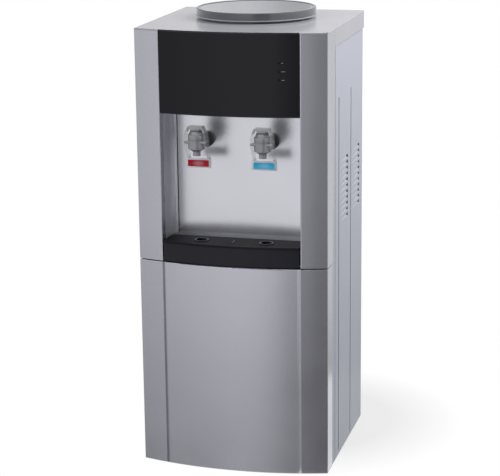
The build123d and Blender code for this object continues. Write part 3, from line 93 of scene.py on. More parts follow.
def mixOn(tree, factor, first, second, blend="MIX"):
    mix = tree.nodes.new("ShaderNodeMixRGB")
    mix.blend_type = blend
    feed(tree, mix.inputs, (factor, first, second))
    return mix.outputs["Color"]


def shareOf(tree, source, low, high, start=0.0):
    share = tree.nodes.new("ShaderNodeMapRange")
    share.inputs["From Min"].default_value = low
    share.inputs["From Max"].default_value = high
    share.inputs["To Min"].default_value = start
    tree.links.new(source, share.inputs["Value"])
    return share.outputs["Result"]


def noiseOn(tree, scale, detail=2, stretch=(1, 1, 1)):
    mapping = tree.nodes.new("ShaderNodeMapping")
    mapping.inputs["Scale"].default_value = stretch
    noise = tree.nodes.new("ShaderNodeTexNoise")
    noise.inputs["Scale"].default_value = scale
    noise.inputs["Detail"].default_value = detail
    tree.links.new(objectCoords(tree), mapping.inputs["Vector"])
    tree.links.new(mapping.outputs["Vector"], noise.inputs["Vector"])
    return noise.outputs["Fac"]


def flakesOn(tree, scale):
    cells = tree.nodes.new("ShaderNodeTexVoronoi")
    cells.inputs["Scale"].default_value = scale
    tree.links.new(objectCoords(tree), cells.inputs["Vector"])
    split = tree.nodes.new("ShaderNodeSeparateColor")
    tree.links.new(cells.outputs["Color"], split.inputs["Color"])
    return split.outputs["Red"]


def grey(value):
    return (value, value, value)


def shade(colour, factor):
    return tuple(min(1.0, part * factor) for part in colour)


def rampOf(tree, source, dark, light, low=0.3, high=0.7):
    ramp = tree.nodes.new("ShaderNodeValToRGB")
    ramp.color_ramp.elements[0].position = low
    ramp.color_ramp.elements[1].position = high
    ramp.color_ramp.elements[0].color = (*dark, 1)
    ramp.color_ramp.elements[1].color = (*light, 1)
    tree.links.new(source, ramp.inputs["Fac"])
    return ramp.outputs["Color"]


def greySteps(tree, source, steps):
    ramp = tree.nodes.new("ShaderNodeValToRGB")
    stops = ramp.color_ramp.elements
    while len(stops) < len(steps):
        stops.new(0.5)
    for stop, (spot, tone) in zip(stops, steps):
        stop.position = spot
        stop.color = (*grey(tone), 1)
    tree.links.new(source, ramp.inputs["Fac"])
    return ramp.outputs["Color"]


# kinds of finish

patterns = {
    "cloud": 14,  # noise scales: slow changes of tone, then fine grain
    "paintCloud": 9,
    "clearCloud": 60,
    "tagGrain": 800,
    "flakes": 1800,
    "peel": 420,  # orange peel of sprayed paint
    "peelDetail": 1,
    "peelBump": 0.05,
    "lineDetail": 4,  # brushed lines
    "relief": 0.0002,  # height of every bump
    "roughSpread": 0.15,  # share by which plastic is smoother or rougher in places
    "paintRoughSpread": 0.1,
    "coatRoughness": 0.08,
    "paintCoatRoughness": 0.12,
}


def bumpFrom(tree, shader, source, strength):
    bump = tree.nodes.new("ShaderNodeBump")
    bump.inputs["Strength"].default_value = strength
    bump.inputs["Distance"].default_value = patterns["relief"]
    tree.links.new(source, bump.inputs["Height"])
    tree.links.new(bump.outputs["Normal"], shader.inputs["Normal"])


def colourFrom(tree, shader, source, colour, spread, *ends):
    ramp = rampOf(tree, source, shade(colour, 1 - spread), shade(colour, 1 + spread), *ends)
    tree.links.new(ramp, shader.inputs["Base Color"])


def roughnessFrom(tree, shader, source, roughness, spread):
    ramp = rampOf(tree, source, grey(roughness * (1 - spread)), grey(roughness * (1 + spread)))
    tree.links.new(ramp, shader.inputs["Roughness"])


def mouldedPlastic(name, colour, roughness=0.35, spread=0.06, grain=900, bump=0.06, coat=0.0, gloss=0.5,
                   glossTint=(1, 1, 1)):
    material, tree, shader = newMaterial(name)
    colourFrom(tree, shader, noiseOn(tree, patterns["cloud"]), colour, spread)
    fine = noiseOn(tree, grain)
    roughnessFrom(tree, shader, fine, roughness, patterns["roughSpread"])
    bumpFrom(tree, shader, fine, bump)
    shader.inputs["Specular IOR Level"].default_value = gloss
    shader.inputs["Specular Tint"].default_value = (*glossTint, 1)
    shader.inputs["Coat Weight"].default_value = coat
    shader.inputs["Coat Roughness"].default_value = patterns["coatRoughness"]
    return material


def flakePaint(name, colour, metallic, roughness, sparkle=0.08, coat=0.2, gloss=0.5):
    material, tree, shader = newMaterial(name)
    colourFrom(tree, shader, flakesOn(tree, patterns["flakes"]), colour, sparkle, 0.0, 1.0)
    cloud = noiseOn(tree, patterns["paintCloud"])
    roughnessFrom(tree, shader, cloud, roughness, patterns["paintRoughSpread"])
    peel = noiseOn(tree, patterns["peel"], patterns["peelDetail"])
    bumpFrom(tree, shader, peel, patterns["peelBump"])
    shader.inputs["Metallic"].default_value = metallic
    shader.inputs["Specular IOR Level"].default_value = gloss
    shader.inputs["Coat Weight"].default_value = coat
    shader.inputs["Coat Roughness"].default_value = patterns["paintCoatRoughness"]
    return material


def brushedMetal(name, colour, roughness, stretch, spread=0.05, bump=0.04, lineScale=60, metallic=1.0):
    material, tree, shader = newMaterial(name)
    lines = noiseOn(tree, lineScale, patterns["lineDetail"], stretch)
    colourFrom(tree, shader, lines, colour, spread)
    roughnessFrom(tree, shader, lines, roughness, 2 * spread)
    bumpFrom(tree, shader, lines, bump)
    shader.inputs["Metallic"].default_value = metallic
    return material


clearLook = {
    "levels": [  # height, how milky, tint: the pad, the open arms, the hood
        (0.585, 0.55, 0.92),
        (0.605, 0.55, 0.92),
        (0.612, 0.07, 0.96),
        (0.655, 0.07, 0.96),
        (0.663, 0.75, 0.50),
        (0.670, 0.75, 0.50),
    ],
    "rim": 0.30,  # thin walls are milkier at their rims
    "rimBlend": 0.25,
    "roughness": (0.05, 0.12),
}


def clearPlastic(name):
    material, tree, shader = newMaterial(name)
    levels = clearLook["levels"]
    bottom = levels[0][0]
    reach = levels[-1][0] - bottom
    rise = shareOf(tree, splitOf(tree, objectCoords(tree))["Z"], bottom, bottom + reach)
    milky = greySteps(tree, rise, [((height - bottom) / reach, milk) for height, milk, tint in levels])
    tinted = greySteps(tree, rise, [((height - bottom) / reach, tint) for height, milk, tint in levels])
    tree.links.new(tinted, shader.inputs["Base Color"])
    smooth, dull = clearLook["roughness"]
    cloud = noiseOn(tree, patterns["clearCloud"])
    tree.links.new(rampOf(tree, cloud, grey(smooth), grey(dull)), shader.inputs["Roughness"])
    weight = tree.nodes.new("ShaderNodeLayerWeight")
    weight.inputs["Blend"].default_value = clearLook["rimBlend"]
    total = mathOn(tree, "MULTIPLY_ADD", weight.outputs["Facing"], clearLook["rim"], milky, clamp=True)
    tree.links.new(total, shader.inputs["Alpha"])
    return material


tagLook = {
    "across": 0.062,  # middle of the tag, left or right
    "level": 0.597,
    "patch": (0.0125, 0.0075),  # paler middle, half width and half height
    "fadeFrom": 0.3,
    "roughness": (0.25, 0.34),
    "gloss": 0.25,
}


def tagPlastic(name, colour, pale, side):
    material, tree, shader = newMaterial(name)
    wide, tall = tagLook["patch"]
    mapping = tree.nodes.new("ShaderNodeMapping")
    mapping.inputs["Scale"].default_value = (1 / wide, 0, 1 / tall)
    middle = (-side * tagLook["across"] / wide, 0, -tagLook["level"] / tall)
    mapping.inputs["Location"].default_value = middle
    tree.links.new(objectCoords(tree), mapping.inputs["Vector"])
    away = lengthOf(tree, mapping.outputs["Vector"])
    tree.links.new(rampOf(tree, away, pale, colour, tagLook["fadeFrom"], 1.0), shader.inputs["Base Color"])
    smooth, dull = tagLook["roughness"]
    fine = noiseOn(tree, patterns["tagGrain"])
    tree.links.new(rampOf(tree, fine, grey(smooth), grey(dull)), shader.inputs["Roughness"])
    shader.inputs["Specular IOR Level"].default_value = tagLook["gloss"]
    return material


# finishes by the record's material slots, then two more for the pieces below

finishes = {
    "silver_front": flakePaint("silverFront", (0.575, 0.575, 0.645), metallic=0.87, roughness=0.24),
    "light_cover": mouldedPlastic("lightCover", (0.385, 0.385, 0.42), roughness=0.14, spread=0.02, grain=700,
                                  bump=0.02),
    "grey_sheet": flakePaint("greySheet", (0.45, 0.465, 0.52), metallic=0.0, roughness=0.5, sparkle=0.04,
                             coat=0.0, gloss=0.12),
    "niche_silver": flakePaint("nicheSilver", (0.88, 0.88, 0.94), metallic=0.5, roughness=0.36),
    "satin_plate": brushedMetal("satinPlate", (0.72, 0.72, 0.78), roughness=0.24, stretch=(1, 1, 30),
                                spread=0.004, bump=0.0, lineScale=40, metallic=0.85),
    "black_fascia": mouldedPlastic("blackFascia", (0.004, 0.004, 0.0055), roughness=0.11, spread=0.1,
                                   grain=1200, bump=0.02, gloss=0.27, glossTint=(0.93, 0.90, 1.0)),
    "black_tray": mouldedPlastic("blackTray", (0.019, 0.019, 0.026), roughness=0.34, spread=0.1, grain=1100,
                                 bump=0.08, gloss=0.24),
    "tap_grey": flakePaint("tapGrey", (0.345, 0.345, 0.37), metallic=0.35, roughness=0.32, sparkle=0.03,
                           coat=0.1),
    "lever_clear": clearPlastic("leverClear"),
    "tag_red": tagPlastic("tagRed", (0.46, 0.005, 0.024), (0.50, 0.17, 0.20), side=-1),
    "tag_blue": tagPlastic("tagBlue", (0.06, 0.52, 0.86), (0.20, 0.60, 0.84), side=1),
    "black_plastic": mouldedPlastic("blackPlastic", (0.014, 0.014, 0.016), roughness=0.42, spread=0.15,
                                    grain=1000, bump=0.12),
    "plunger_white": mouldedPlastic("plungerWhite", (0.70, 0.70, 0.69), roughness=0.4, spread=0.03),
    "switch_red": mouldedPlastic("switchRed", (0.45, 0.012, 0.012), roughness=0.25, bump=0.03, coat=0.3),
    "switch_green": mouldedPlastic("switchGreen", (0.012, 0.26, 0.07), roughness=0.25, bump=0.03, coat=0.3),
    "lens_amber": mouldedPlastic("lensSmoke", (0.010, 0.012, 0.010), roughness=0.2, spread=0.2, bump=0.02,
                                 gloss=0.1),
    "board_green": mouldedPlastic("boardGreen", (0.012, 0.11, 0.04), roughness=0.45, spread=0.2, grain=300,
                                  bump=0.2),
    "collar_grey": mouldedPlastic("collarGrey", (0.075, 0.078, 0.09), roughness=0.12, grain=800, bump=0.02,
                                  coat=0.8),
    "funnel_grey": mouldedPlastic("funnelGrey", (0.34, 0.34, 0.36), roughness=0.24, spread=0.02, grain=700,
                                  bump=0.03),
    "tank_steel": brushedMetal("tankSteel", (0.55, 0.55, 0.56), roughness=0.3, stretch=(1, 1, 30)),
    "evaporator_metal": brushedMetal("evaporatorMetal", (0.66, 0.67, 0.68), roughness=0.38,
                                     stretch=(1, 1, 20)),
    "foam": mouldedPlastic("foam", (0.62, 0.54, 0.36), roughness=0.9, spread=0.12, grain=240, bump=0.5),
    "zinc_steel": brushedMetal("zincSteel", (0.52, 0.53, 0.54), roughness=0.42, stretch=(12, 1, 1),
                               spread=0.1, bump=0.06),
    "hose_clear": mouldedPlastic("hoseMilky", (0.66, 0.66, 0.64), spread=0.04),
    "copper": brushedMetal("copperTube", (0.60, 0.29, 0.17), roughness=0.3, stretch=(1, 1, 10), spread=0.12),
    "condenser_black": mouldedPlastic("condenserBlack", (0.012, 0.012, 0.013), roughness=0.38, spread=0.15,
                                      grain=500, bump=0.1),
    "compressor_black": mouldedPlastic("compressorBlack", (0.014, 0.014, 0.015), roughness=0.32, spread=0.12,
                                       grain=300, bump=0.03, coat=0.2),
    "black_rubber": mouldedPlastic("blackRubber", (0.018, 0.018, 0.018), roughness=0.75, spread=0.15,
                                   grain=600, bump=0.25),
    "grey_rubber": mouldedPlastic("greyRubber", (0.42, 0.42, 0.44), roughness=0.7, grain=600, bump=0.2),
    "liner_white": mouldedPlastic("linerWhite", (0.66, 0.66, 0.66), roughness=0.4, spread=0.02, grain=800,
                                  bump=0.08),
    # the middle bead's paler grey is a painted highlight of the lid's rib
    "bead_painted_highlight": mouldedPlastic("beadPaintedHighlight", (0.10, 0.10, 0.11), roughness=0.4, spread=0.08),
    "mark_pale": mouldedPlastic("markPale", (0.30, 0.30, 0.31), roughness=0.4, spread=0.05),
}
for subpart in frame["record"]["subparts"]:
    node = nodes[subpart["node"]]
    node.data.materials.clear()
    node.data.materials.append(finishes[subpart["material_slot"]])

# a few nodes have a look of their own

roseGrey = mouldedPlastic("roseGrey", (0.05, 0.05, 0.055), roughness=0.4, spread=0.08, grain=1000, bump=0.08)
ownFinishes = {
    "drip_grate": mouldedPlastic("trayLid", (0.016, 0.016, 0.019), roughness=0.5, spread=0.1, grain=1100,
                                 bump=0.1, gloss=0.06),
    "door_gasket": mouldedPlastic("gasketDark", (0.05, 0.05, 0.055), roughness=0.7, spread=0.08, grain=600,
                                  bump=0.2),
    "hot_tap_rose": roseGrey,
    "cold_tap_rose": roseGrey,
}
for nodeName, ownFinish in ownFinishes.items():
    nodes[nodeName].data.materials[0] = ownFinish

facing = 0.9  # a normal or edge counts as square to an axis from here

# the foot's darker grey stands in for the shade in the niche: painted shade
footShadePaint = {
    "underLid": 0.0006,  # the plate's folded foot lies at least this far under the lid's top
    "finish": mouldedPlastic("footPaintedShade", (0.26, 0.26, 0.28), roughness=0.5, spread=0.08, bump=0.1,
                             gloss=0.1),
}


def paintFootShade():
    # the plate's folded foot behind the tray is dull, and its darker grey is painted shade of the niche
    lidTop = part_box("drip_grate")[1].z
    plate = nodes["niche_back_plate"].data
    plate.materials.append(footShadePaint["finish"])
    for face in plate.polygons:
        if face.center.z < lidTop - footShadePaint["underLid"] and abs(face.normal.z) > facing:
            face.material_index = 1


coverEdge = {
    "halfWidth": 0.1307,  # as wide as the fascia
    "front": -0.10,
    "top": 0.8418,
    "black": (0.006, 0.006, 0.008, 1),
}


def blackFrontEdge(material):
    # the fascia's black runs on over the cover's front edge
    tree = material.node_tree
    colour = tree.nodes["Principled BSDF"].inputs["Base Color"]
    paint = colour.links[0].from_socket
    place = splitOf(tree, objectCoords(tree))
    narrow = mathOn(tree, "LESS_THAN", mathOn(tree, "ABSOLUTE", place["X"]), coverEdge["halfWidth"])
    front = mathOn(tree, "LESS_THAN", place["Y"], coverEdge["front"])
    under = mathOn(tree, "LESS_THAN", place["Z"], coverEdge["top"])
    inside = mathOn(tree, "MULTIPLY", mathOn(tree, "MULTIPLY", narrow, front), under)
    tree.links.new(mixOn(tree, inside, paint, coverEdge["black"]), colour)


paintFootShade()
blackFrontEdge(finishes["light_cover"])
print("finishes on every node:", len(finishes))

# modelling helpers: edit mode picks by place or normal

hair = 0.0001  # a tenth of a millimetre, the slack in most picks


def startEdit(piece, name):
    piece.name = name
    piece.data.name = name
    bpy.ops.object.mode_set(mode="EDIT")


def pickFaces(piece, wanted):
    bpy.ops.mesh.select_mode(type="FACE")
    bpy.ops.mesh.select_all(action="DESELECT")
    mesh = bmesh.from_edit_mesh(piece.data)
    for face in mesh.faces:
        face.select_set(bool(wanted(face.calc_center_median(), face.normal)))
    mesh.select_flush_mode()
    bmesh.update_edit_mesh(piece.data)


def pickEdges(piece, wanted):
    bpy.ops.mesh.select_mode(type="EDGE")
    bpy.ops.mesh.select_all(action="DESELECT")
    mesh = bmesh.from_edit_mesh(piece.data)
    for edge in mesh.edges:
        start, end = (corner.co for corner in edge.verts)
        edge.select_set(bool(wanted((start + end) / 2, (end - start).normalized())))
    mesh.select_flush_mode()
    bmesh.update_edit_mesh(piece.data)


def pickPoints(piece, wanted):
    bpy.ops.mesh.select_mode(type="VERT")
    bpy.ops.mesh.select_all(action="DESELECT")
    mesh = bmesh.from_edit_mesh(piece.data)
    for point in mesh.verts:
        point.select_set(bool(wanted(point.co)))
    mesh.select_flush_mode()
    bmesh.update_edit_mesh(piece.data)


def near(value, target, slack=2 * hair):
    return abs(value - target) < slack


def slide(x=0.0, y=0.0, z=0.0):
    bpy.ops.transform.translate(value=(x, y, z))


def pull(x=0.0, y=0.0, z=0.0):
    bpy.ops.mesh.extrude_region_move(TRANSFORM_OT_translate={"value": (x, y, z)})


def cutAll(place, normal):
    bpy.ops.mesh.select_all(action="SELECT")
    bpy.ops.mesh.bisect(plane_co=place, plane_no=normal)


def roundEdges(width, steps):
    bpy.ops.mesh.bevel(offset=width, segments=steps, affect="EDGES")


def fixPlace():
    bpy.ops.object.transform_apply(location=True, rotation=True, scale=True)


def boxAt(low, high):
    bpy.ops.object.select_all(action="DESELECT")
    bpy.ops.mesh.primitive_cube_add(size=1, location=(Vector(low) + Vector(high)) / 2)
    piece = bpy.context.object
    piece.scale = Vector(high) - Vector(low)
    fixPlace()
    return piece


def endEdit(piece, finish, softEdge=0.0, angle=40):
    bpy.ops.mesh.select_all(action="SELECT")
    bpy.ops.mesh.remove_doubles(threshold=0.1 * hair)
    bpy.ops.mesh.normals_make_consistent(inside=False)
    bpy.ops.object.mode_set(mode="OBJECT")
    fixPlace()
    if softEdge:
        soft = piece.modifiers.new("softEdge", "BEVEL")
        soft.width = softEdge
        soft.segments = 2
        soft.limit_method = "ANGLE"
        soft.angle_limit = math.radians(angle)
        bpy.ops.object.modifier_apply(modifier=soft.name)
    bpy.ops.object.shade_smooth_by_angle(angle=math.radians(angle))
    piece.data.materials.clear()
    piece.data.materials.append(finish)


def copyPiece(piece, name, move, finish=None):
    twin = piece.copy()
    twin.data = piece.data.copy()
    twin.name = name
    twin.data.name = name
    bpy.context.scene.collection.objects.link(twin)
    twin.data.transform(Matrix.Translation(move))
    if finish:
        twin.data.materials.clear()
        twin.data.materials.append(finish)
    return twin


def hang(piece, body, slotName, *replaced):
    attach(piece, body)
    if replaced:
        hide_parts(*replaced)


# tap levers: a clear loop over the cap, two arms and a cup pad between them

lever = {
    "wall": 0.0035,
    "barDepth": 0.018,
    "padFront": 0.022,  # behind the loop's front
    "padHeight": 0.017,
    "padOver": 0.0012,  # how far the solid's pad stands out past each arm
    "padWider": 0.0018,  # and how much further this pad does
    "shoulder": 0.018,  # below the top
    "waist": 0.0345,
    "leanFrom": 0.0145,  # below the top, where the arms start to lean in over the cap
    "lean": 0.74,
    "lipDepth": 0.0028,
    "lipDrop": 0.0034,
    "cornerRound": 0.0060,
    "innerRound": 0.0045,
    "roundSteps": 3,
    "softEdge": 0.0007,
    "softAngle": 30,
}


def buildLevers():
    low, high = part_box("hot_tap_lever")
    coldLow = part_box("cold_tap_lever")[0]
    middle = (low.x + high.x) / 2
    wall = lever["wall"]
    lean = lever["lean"]
    barRear = low.y + lever["barDepth"]
    barBottom = high.z - wall
    padFront = low.y + lever["padFront"]
    padTop = low.z + lever["padHeight"]
    shoulder = high.z - lever["shoulder"]
    waist = high.z - lever["waist"]
    waistRear = barRear + (high.y - barRear) * (shoulder - waist) / (shoulder - padTop)
    halfOut = (high.x - low.x) / 2 - lever["padOver"]
    halfIn = halfOut - wall
    piece = boxAt((middle - halfOut, low.y, barBottom), (middle + halfOut, barRear, high.z))
    startEdit(piece, "hotTapLever")
    for side in (middle - halfIn, middle + halfIn):
        cutAll((side, 0, 0), (1, 0, 0))
    # the arms grow down row by row, and each row sets its own front and rear
    rows = [
        (shoulder, low.y, barRear),
        (waist, low.y, waistRear),
        (padTop, padFront, high.y),
        (low.z, padFront, high.y),
    ]
    level, front, rear = barBottom, low.y, barRear
    for rowLevel, rowFront, rowRear in rows:
        pickFaces(piece, lambda spot, normal: normal.z < -facing and near(spot.z, level)
                  and abs(spot.x - middle) > halfIn)
        pull(z=rowLevel - level)
        pickPoints(piece, lambda spot: near(spot.z, rowLevel) and near(spot.y, front))
        slide(y=rowFront - front)
        pickPoints(piece, lambda spot: near(spot.z, rowLevel) and near(spot.y, rear))
        slide(y=rowRear - rear)
        level, front, rear = rowLevel, rowFront, rowRear
    # the pad joins the arms in front and stands out a little at both ends
    pickFaces(piece, lambda spot, normal: spot.z < padTop - hair)
    bpy.ops.mesh.bisect(plane_co=(0, padFront + wall, 0), plane_no=(0, 1, 0))
    pickFaces(piece, lambda spot, normal: abs(normal.x) > facing and spot.z < padTop
              and near(abs(spot.x - middle), halfIn) and spot.y < padFront + wall)
    bpy.ops.mesh.bridge_edge_loops()
    for side in (-1, 1):
        pickFaces(piece, lambda spot, normal: normal.x * side > facing and spot.z < padTop
                  and near((spot.x - middle) * side, halfOut) and spot.y < padFront + wall)
        pull(x=(lever["padOver"] + lever["padWider"]) * side)
    # the hood leans in, is rounded and gets a lip
    cutAll((0, 0, high.z - lever["leanFrom"]), (0, 0, 1))
    pickPoints(piece, lambda spot: spot.z > barBottom - hair)
    bpy.ops.transform.resize(value=(lean, 1, 1), center_override=(middle, 0, 0))
    pickEdges(piece, lambda spot, way: abs(way.y) > facing and near(spot.z, high.z)
              and near(abs(spot.x - middle), halfOut * lean))
    roundEdges(lever["cornerRound"], lever["roundSteps"])
    pickEdges(piece, lambda spot, way: abs(way.y) > facing and near(spot.z, barBottom)
              and near(abs(spot.x - middle), halfIn * lean))
    roundEdges(lever["innerRound"], lever["roundSteps"])
    lipRear = low.y + lever["lipDepth"]
    pickFaces(piece, lambda spot, normal: spot.z > barBottom - hair)
    bpy.ops.mesh.bisect(plane_co=(0, lipRear, 0), plane_no=(0, 1, 0))
    pickFaces(piece, lambda spot, normal: normal.z < -facing and near(spot.z, barBottom)
              and spot.y < lipRear)
    pull(z=-lever["lipDrop"])
    endEdit(piece, finishes["lever_clear"], lever["softEdge"], lever["softAngle"])
    twin = copyPiece(piece, "coldTapLever", (coldLow.x - low.x, 0, 0))
    hang(piece, "hot_lever", "lever_clear", "hot_tap_lever")
    hang(twin, "cold_lever", "lever_clear", "cold_tap_lever")
    print("tap levers built")


# tap caps: a round bonnet under an eight sided top with slanted facets

cap = {
    "roundSides": 48,
    "tierHeight": 0.0075,
    "tierRadius": 0.0132,
    "tierSides": 8,
    "facetHeight": 0.0042,
    "facetDepth": 0.0028,
    "rimRound": 0.0014,
    "roundSteps": 3,
    "softEdge": 0.00025,
    "softAngle": 25,
}


def buildCaps():
    low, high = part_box("hot_tap_cap")
    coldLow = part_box("cold_tap_cap")[0]
    centre = (low + high) / 2
    rim = high.z - cap["tierHeight"]
    bpy.ops.object.select_all(action="DESELECT")
    bpy.ops.mesh.primitive_cylinder_add(vertices=cap["roundSides"], radius=(high.x - low.x) / 2,
                                        depth=rim - low.z, location=(centre.x, centre.y, (rim + low.z) / 2))
    piece = bpy.context.object
    fixPlace()
    startEdit(piece, "hotTapCap")
    pickEdges(piece, lambda spot, way: near(spot.z, rim))
    roundEdges(cap["rimRound"], cap["roundSteps"])
    bpy.ops.object.mode_set(mode="OBJECT")
    bpy.ops.object.select_all(action="DESELECT")
    straight = cap["tierHeight"] - cap["facetHeight"]
    bpy.ops.mesh.primitive_cylinder_add(vertices=cap["tierSides"], radius=cap["tierRadius"],
                                        depth=2 * straight, location=(centre.x, centre.y, rim))
    tier = bpy.context.object
    tier.rotation_euler.z = math.pi / cap["tierSides"]  # a flat to the front
    fixPlace()
    startEdit(tier, "capTier")
    pickFaces(tier, lambda spot, normal: normal.z > facing)
    pull(z=cap["facetHeight"])
    shrink = 1 - cap["facetDepth"] / cap["tierRadius"]
    bpy.ops.transform.resize(value=(shrink, shrink, 1), center_override=(centre.x, centre.y, high.z))
    bpy.ops.object.mode_set(mode="OBJECT")
    bpy.ops.object.select_all(action="DESELECT")
    piece.select_set(True)
    bpy.context.view_layer.objects.active = piece
    weld = piece.modifiers.new("weld", "BOOLEAN")
    weld.operation = "UNION"
    weld.object = tier
    bpy.ops.object.modifier_apply(modifier=weld.name)
    bpy.data.objects.remove(tier)
    bpy.ops.object.mode_set(mode="EDIT")
    endEdit(piece, finishes["tap_grey"], cap["softEdge"], cap["softAngle"])
    twin = copyPiece(piece, "coldTapCap", (coldLow.x - low.x, 0, 0))
    hang(piece, "cabinet", "tap_grey", "hot_tap_cap")
    hang(twin, "cabinet", "tap_grey", "cold_tap_cap")
    print("tap caps built")


# tap tags: a coloured strip with rounded corners and a raised rim

tag = {
    "wider": 0.001,
    "cornerRound": 0.0014,
    "roundSteps": 5,
    "rim": 0.0009,
    "sunk": 0.0002,
    "softEdge": 0.00015,
}


def buildTags():
    low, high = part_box("hot_tap_tag")
    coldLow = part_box("cold_tap_tag")[0]
    more = Vector((tag["wider"], 0, 0))
    piece = boxAt(low - more, high + more)
    startEdit(piece, "hotTapTag")
    pickEdges(piece, lambda spot, way: abs(way.y) > facing)
    roundEdges(tag["cornerRound"], tag["roundSteps"])
    pickFaces(piece, lambda spot, normal: normal.y < -facing)
    bpy.ops.mesh.inset(thickness=tag["rim"])
    pull(y=tag["sunk"])
    endEdit(piece, finishes["tag_red"], tag["softEdge"])
    twin = copyPiece(piece, "coldTapTag", (coldLow.x - low.x, 0, 0), finishes["tag_blue"])
    hang(piece, "hot_lever", "tag_red", "hot_tap_tag")
    hang(twin, "cold_lever", "tag_blue", "cold_tap_tag")
    print("tap tags built")


# drain rims: a glossy bead on each raised ring of the lid

drain = {
    "across": 0.062,  # left and right of the middle
    "depth": -0.141,  # place from front to back
    "outer": 0.0134,  # radii, from the foot of the bead to the hole
    "crest": 0.0127,
    "inner": 0.0108,
    "rise": 0.0005,
    "sides": 48,
    "softEdge": 0.0002,
    "softAngle": 30,
}


def buildDrainRims():
    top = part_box("drip_grate")[1].z
    outer, crest, inner, rise = (drain[key] for key in ("outer", "crest", "inner", "rise"))
    centre = Vector((-drain["across"], drain["depth"], top))
    bpy.ops.object.select_all(action="DESELECT")
    bpy.ops.mesh.primitive_circle_add(vertices=drain["sides"], radius=outer, location=centre)
    piece = bpy.context.object
    fixPlace()
    startEdit(piece, "leftDrainRim")
    bpy.ops.mesh.select_mode(type="EDGE")
    bpy.ops.mesh.select_all(action="SELECT")
    # up to the crest, level to the hole, then down into it
    for shrink, lift in ((crest / outer, rise), (inner / crest, 0.0), ((inner - rise) / inner, -rise)):
        bpy.ops.mesh.extrude_edges_move(TRANSFORM_OT_translate={"value": (0, 0, lift)})
        bpy.ops.transform.resize(value=(shrink, shrink, 1), center_override=centre)
    pickEdges(piece, lambda spot, way: near(spot.z, top, hair))
    bpy.ops.mesh.bridge_edge_loops()
    endEdit(piece, finishes["black_fascia"], drain["softEdge"], drain["softAngle"])
    twin = copyPiece(piece, "rightDrainRim", (2 * drain["across"], 0, 0))
    for rim in (piece, twin):
        hang(rim, "grate", "black_tray")
    print("drain rims built")


# middle bead: a strip along the lid's rib, its paler grey a painted highlight of the rib catching light

bead = {
    "front": -0.1555,
    "rear": -0.133,
    "half": 0.0009,  # half width at the foot
    "top": 0.0004,  # half width at the top
    "rise": 0.0002,
    "roundShare": 0.8,  # of the half width
    "roundSteps": 4,
}


def buildBead():
    half = bead["half"]
    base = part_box("drip_grate")[1].z - bead["rise"]
    piece = boxAt((-half, bead["front"], base), (half, bead["rear"], base + 2 * bead["rise"]))
    startEdit(piece, "grateBead")
    pickEdges(piece, lambda spot, way: abs(way.z) > facing)
    roundEdges(half * bead["roundShare"], bead["roundSteps"])
    pickFaces(piece, lambda spot, normal: normal.z > facing)
    bpy.ops.mesh.inset(thickness=half - bead["top"])
    slide(z=bead["rise"] / 2)
    # paler grey: a painted highlight of the rib
    endEdit(piece, finishes["bead_painted_highlight"])
    hang(piece, "grate", "black_tray")
    print("middle bead built")


# indicator marks: plain pale dashes beside the three lights

marks = {
    "gap": 0.0022,
    "height": 0.0011,
    "lengths": (0.0060, 0.0072, 0.0034),  # from the lowest up
    "proud": 0.00012,
    "roundShare": 0.9,  # of the half height
    "roundSteps": 3,
    "parts": 4,  # cut across, so that they follow the bow
}
# the fascia's bow, as the solid has it
bow = {"radius": 0.63608, "apex": -0.1775, "panelRecess": 0.002}


def bowDepth(x):
    return bow["apex"] + bow["panelRecess"] + bow["radius"] - math.sqrt(bow["radius"] ** 2 - x ** 2)


def buildMarks():
    low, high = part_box("indicator_lenses")
    lensRadius = (high.x - low.x) / 2
    step = (high.z - low.z - 2 * lensRadius) / (len(marks["lengths"]) - 1)
    left = high.x + marks["gap"]
    half = marks["height"] / 2
    proud = marks["proud"]
    for index, length in enumerate(marks["lengths"]):
        level = low.z + lensRadius + index * step
        piece = boxAt((left, -proud, level - half), (left + length, proud, level + half))
        startEdit(piece, f"indicatorMark{index + 1}")
        pickEdges(piece, lambda spot, way: abs(way.y) > facing)
        roundEdges(half * marks["roundShare"], marks["roundSteps"])
        for cut in range(1, marks["parts"]):
            cutAll((left + length * cut / marks["parts"], 0, 0), (1, 0, 0))
        endEdit(piece, finishes["mark_pale"])
        for point in piece.data.vertices:  # laid on the fascia's bow
            point.co.y += bowDepth(point.co.x)
        hang(piece, "cabinet", "black_fascia")
    print("indicator marks built")


buildLevers()
buildCaps()
buildTags()
buildDrainRims()
buildBead()
buildMarks()

# floor, studio light and camera

studio = {
    "floorPlace": (0.06, 0.165),  # set back, so that the door mirrors the studio
    "floorRadius": 0.36,
    "floorSides": 96,
    "floorClear": 0.0005,
    "floorGrey": 0.34,
    "floorRoughness": 0.7,
    "floorGlow": 0.74,
    "whiteFrom": 0.5,  # shares of the floor's radius where it starts and ends to go white
    "whiteTo": 0.9,
    "skyColour": (0.94, 0.96, 1.0, 1),
    "skyStrength": 0.24,
    "sweep": [  # azimuth seen from the front, then how bright the studio is there
        (-50, 0.67),
        (-14, 1.0),
        (1, 1.0),
        (16, 0.19),
        (36, 0.19),
        (46, 1.0),
        (110, 1.0),
        (160, 0.70),
    ],
    "lowSweep": [  # the same for looks down at the ground
        (-50, 0.67),
        (-14, 1.0),
        (-5, 1.0),
        (12, 0.12),
        (78, 0.10),
        (92, 0.8),
        (110, 1.0),
        (160, 0.70),
    ],
    "sweepSpan": 180,  # degrees to either side of the front
    "lowShare": [  # steepness of the look down, then how far the low sweep holds
        (-0.50, 0.0),
        (-0.43, 1.0),
        (-0.33, 1.0),
        (-0.262, 0.0),
    ],
    "ground": [  # steepness of the look down, then how bright the studio is there
        (-1.0, 0.8),
        (-0.50, 0.75),
        (-0.425, 0.13),
        (-0.385, 0.15),
        (-0.274, 1.0),
    ],
}


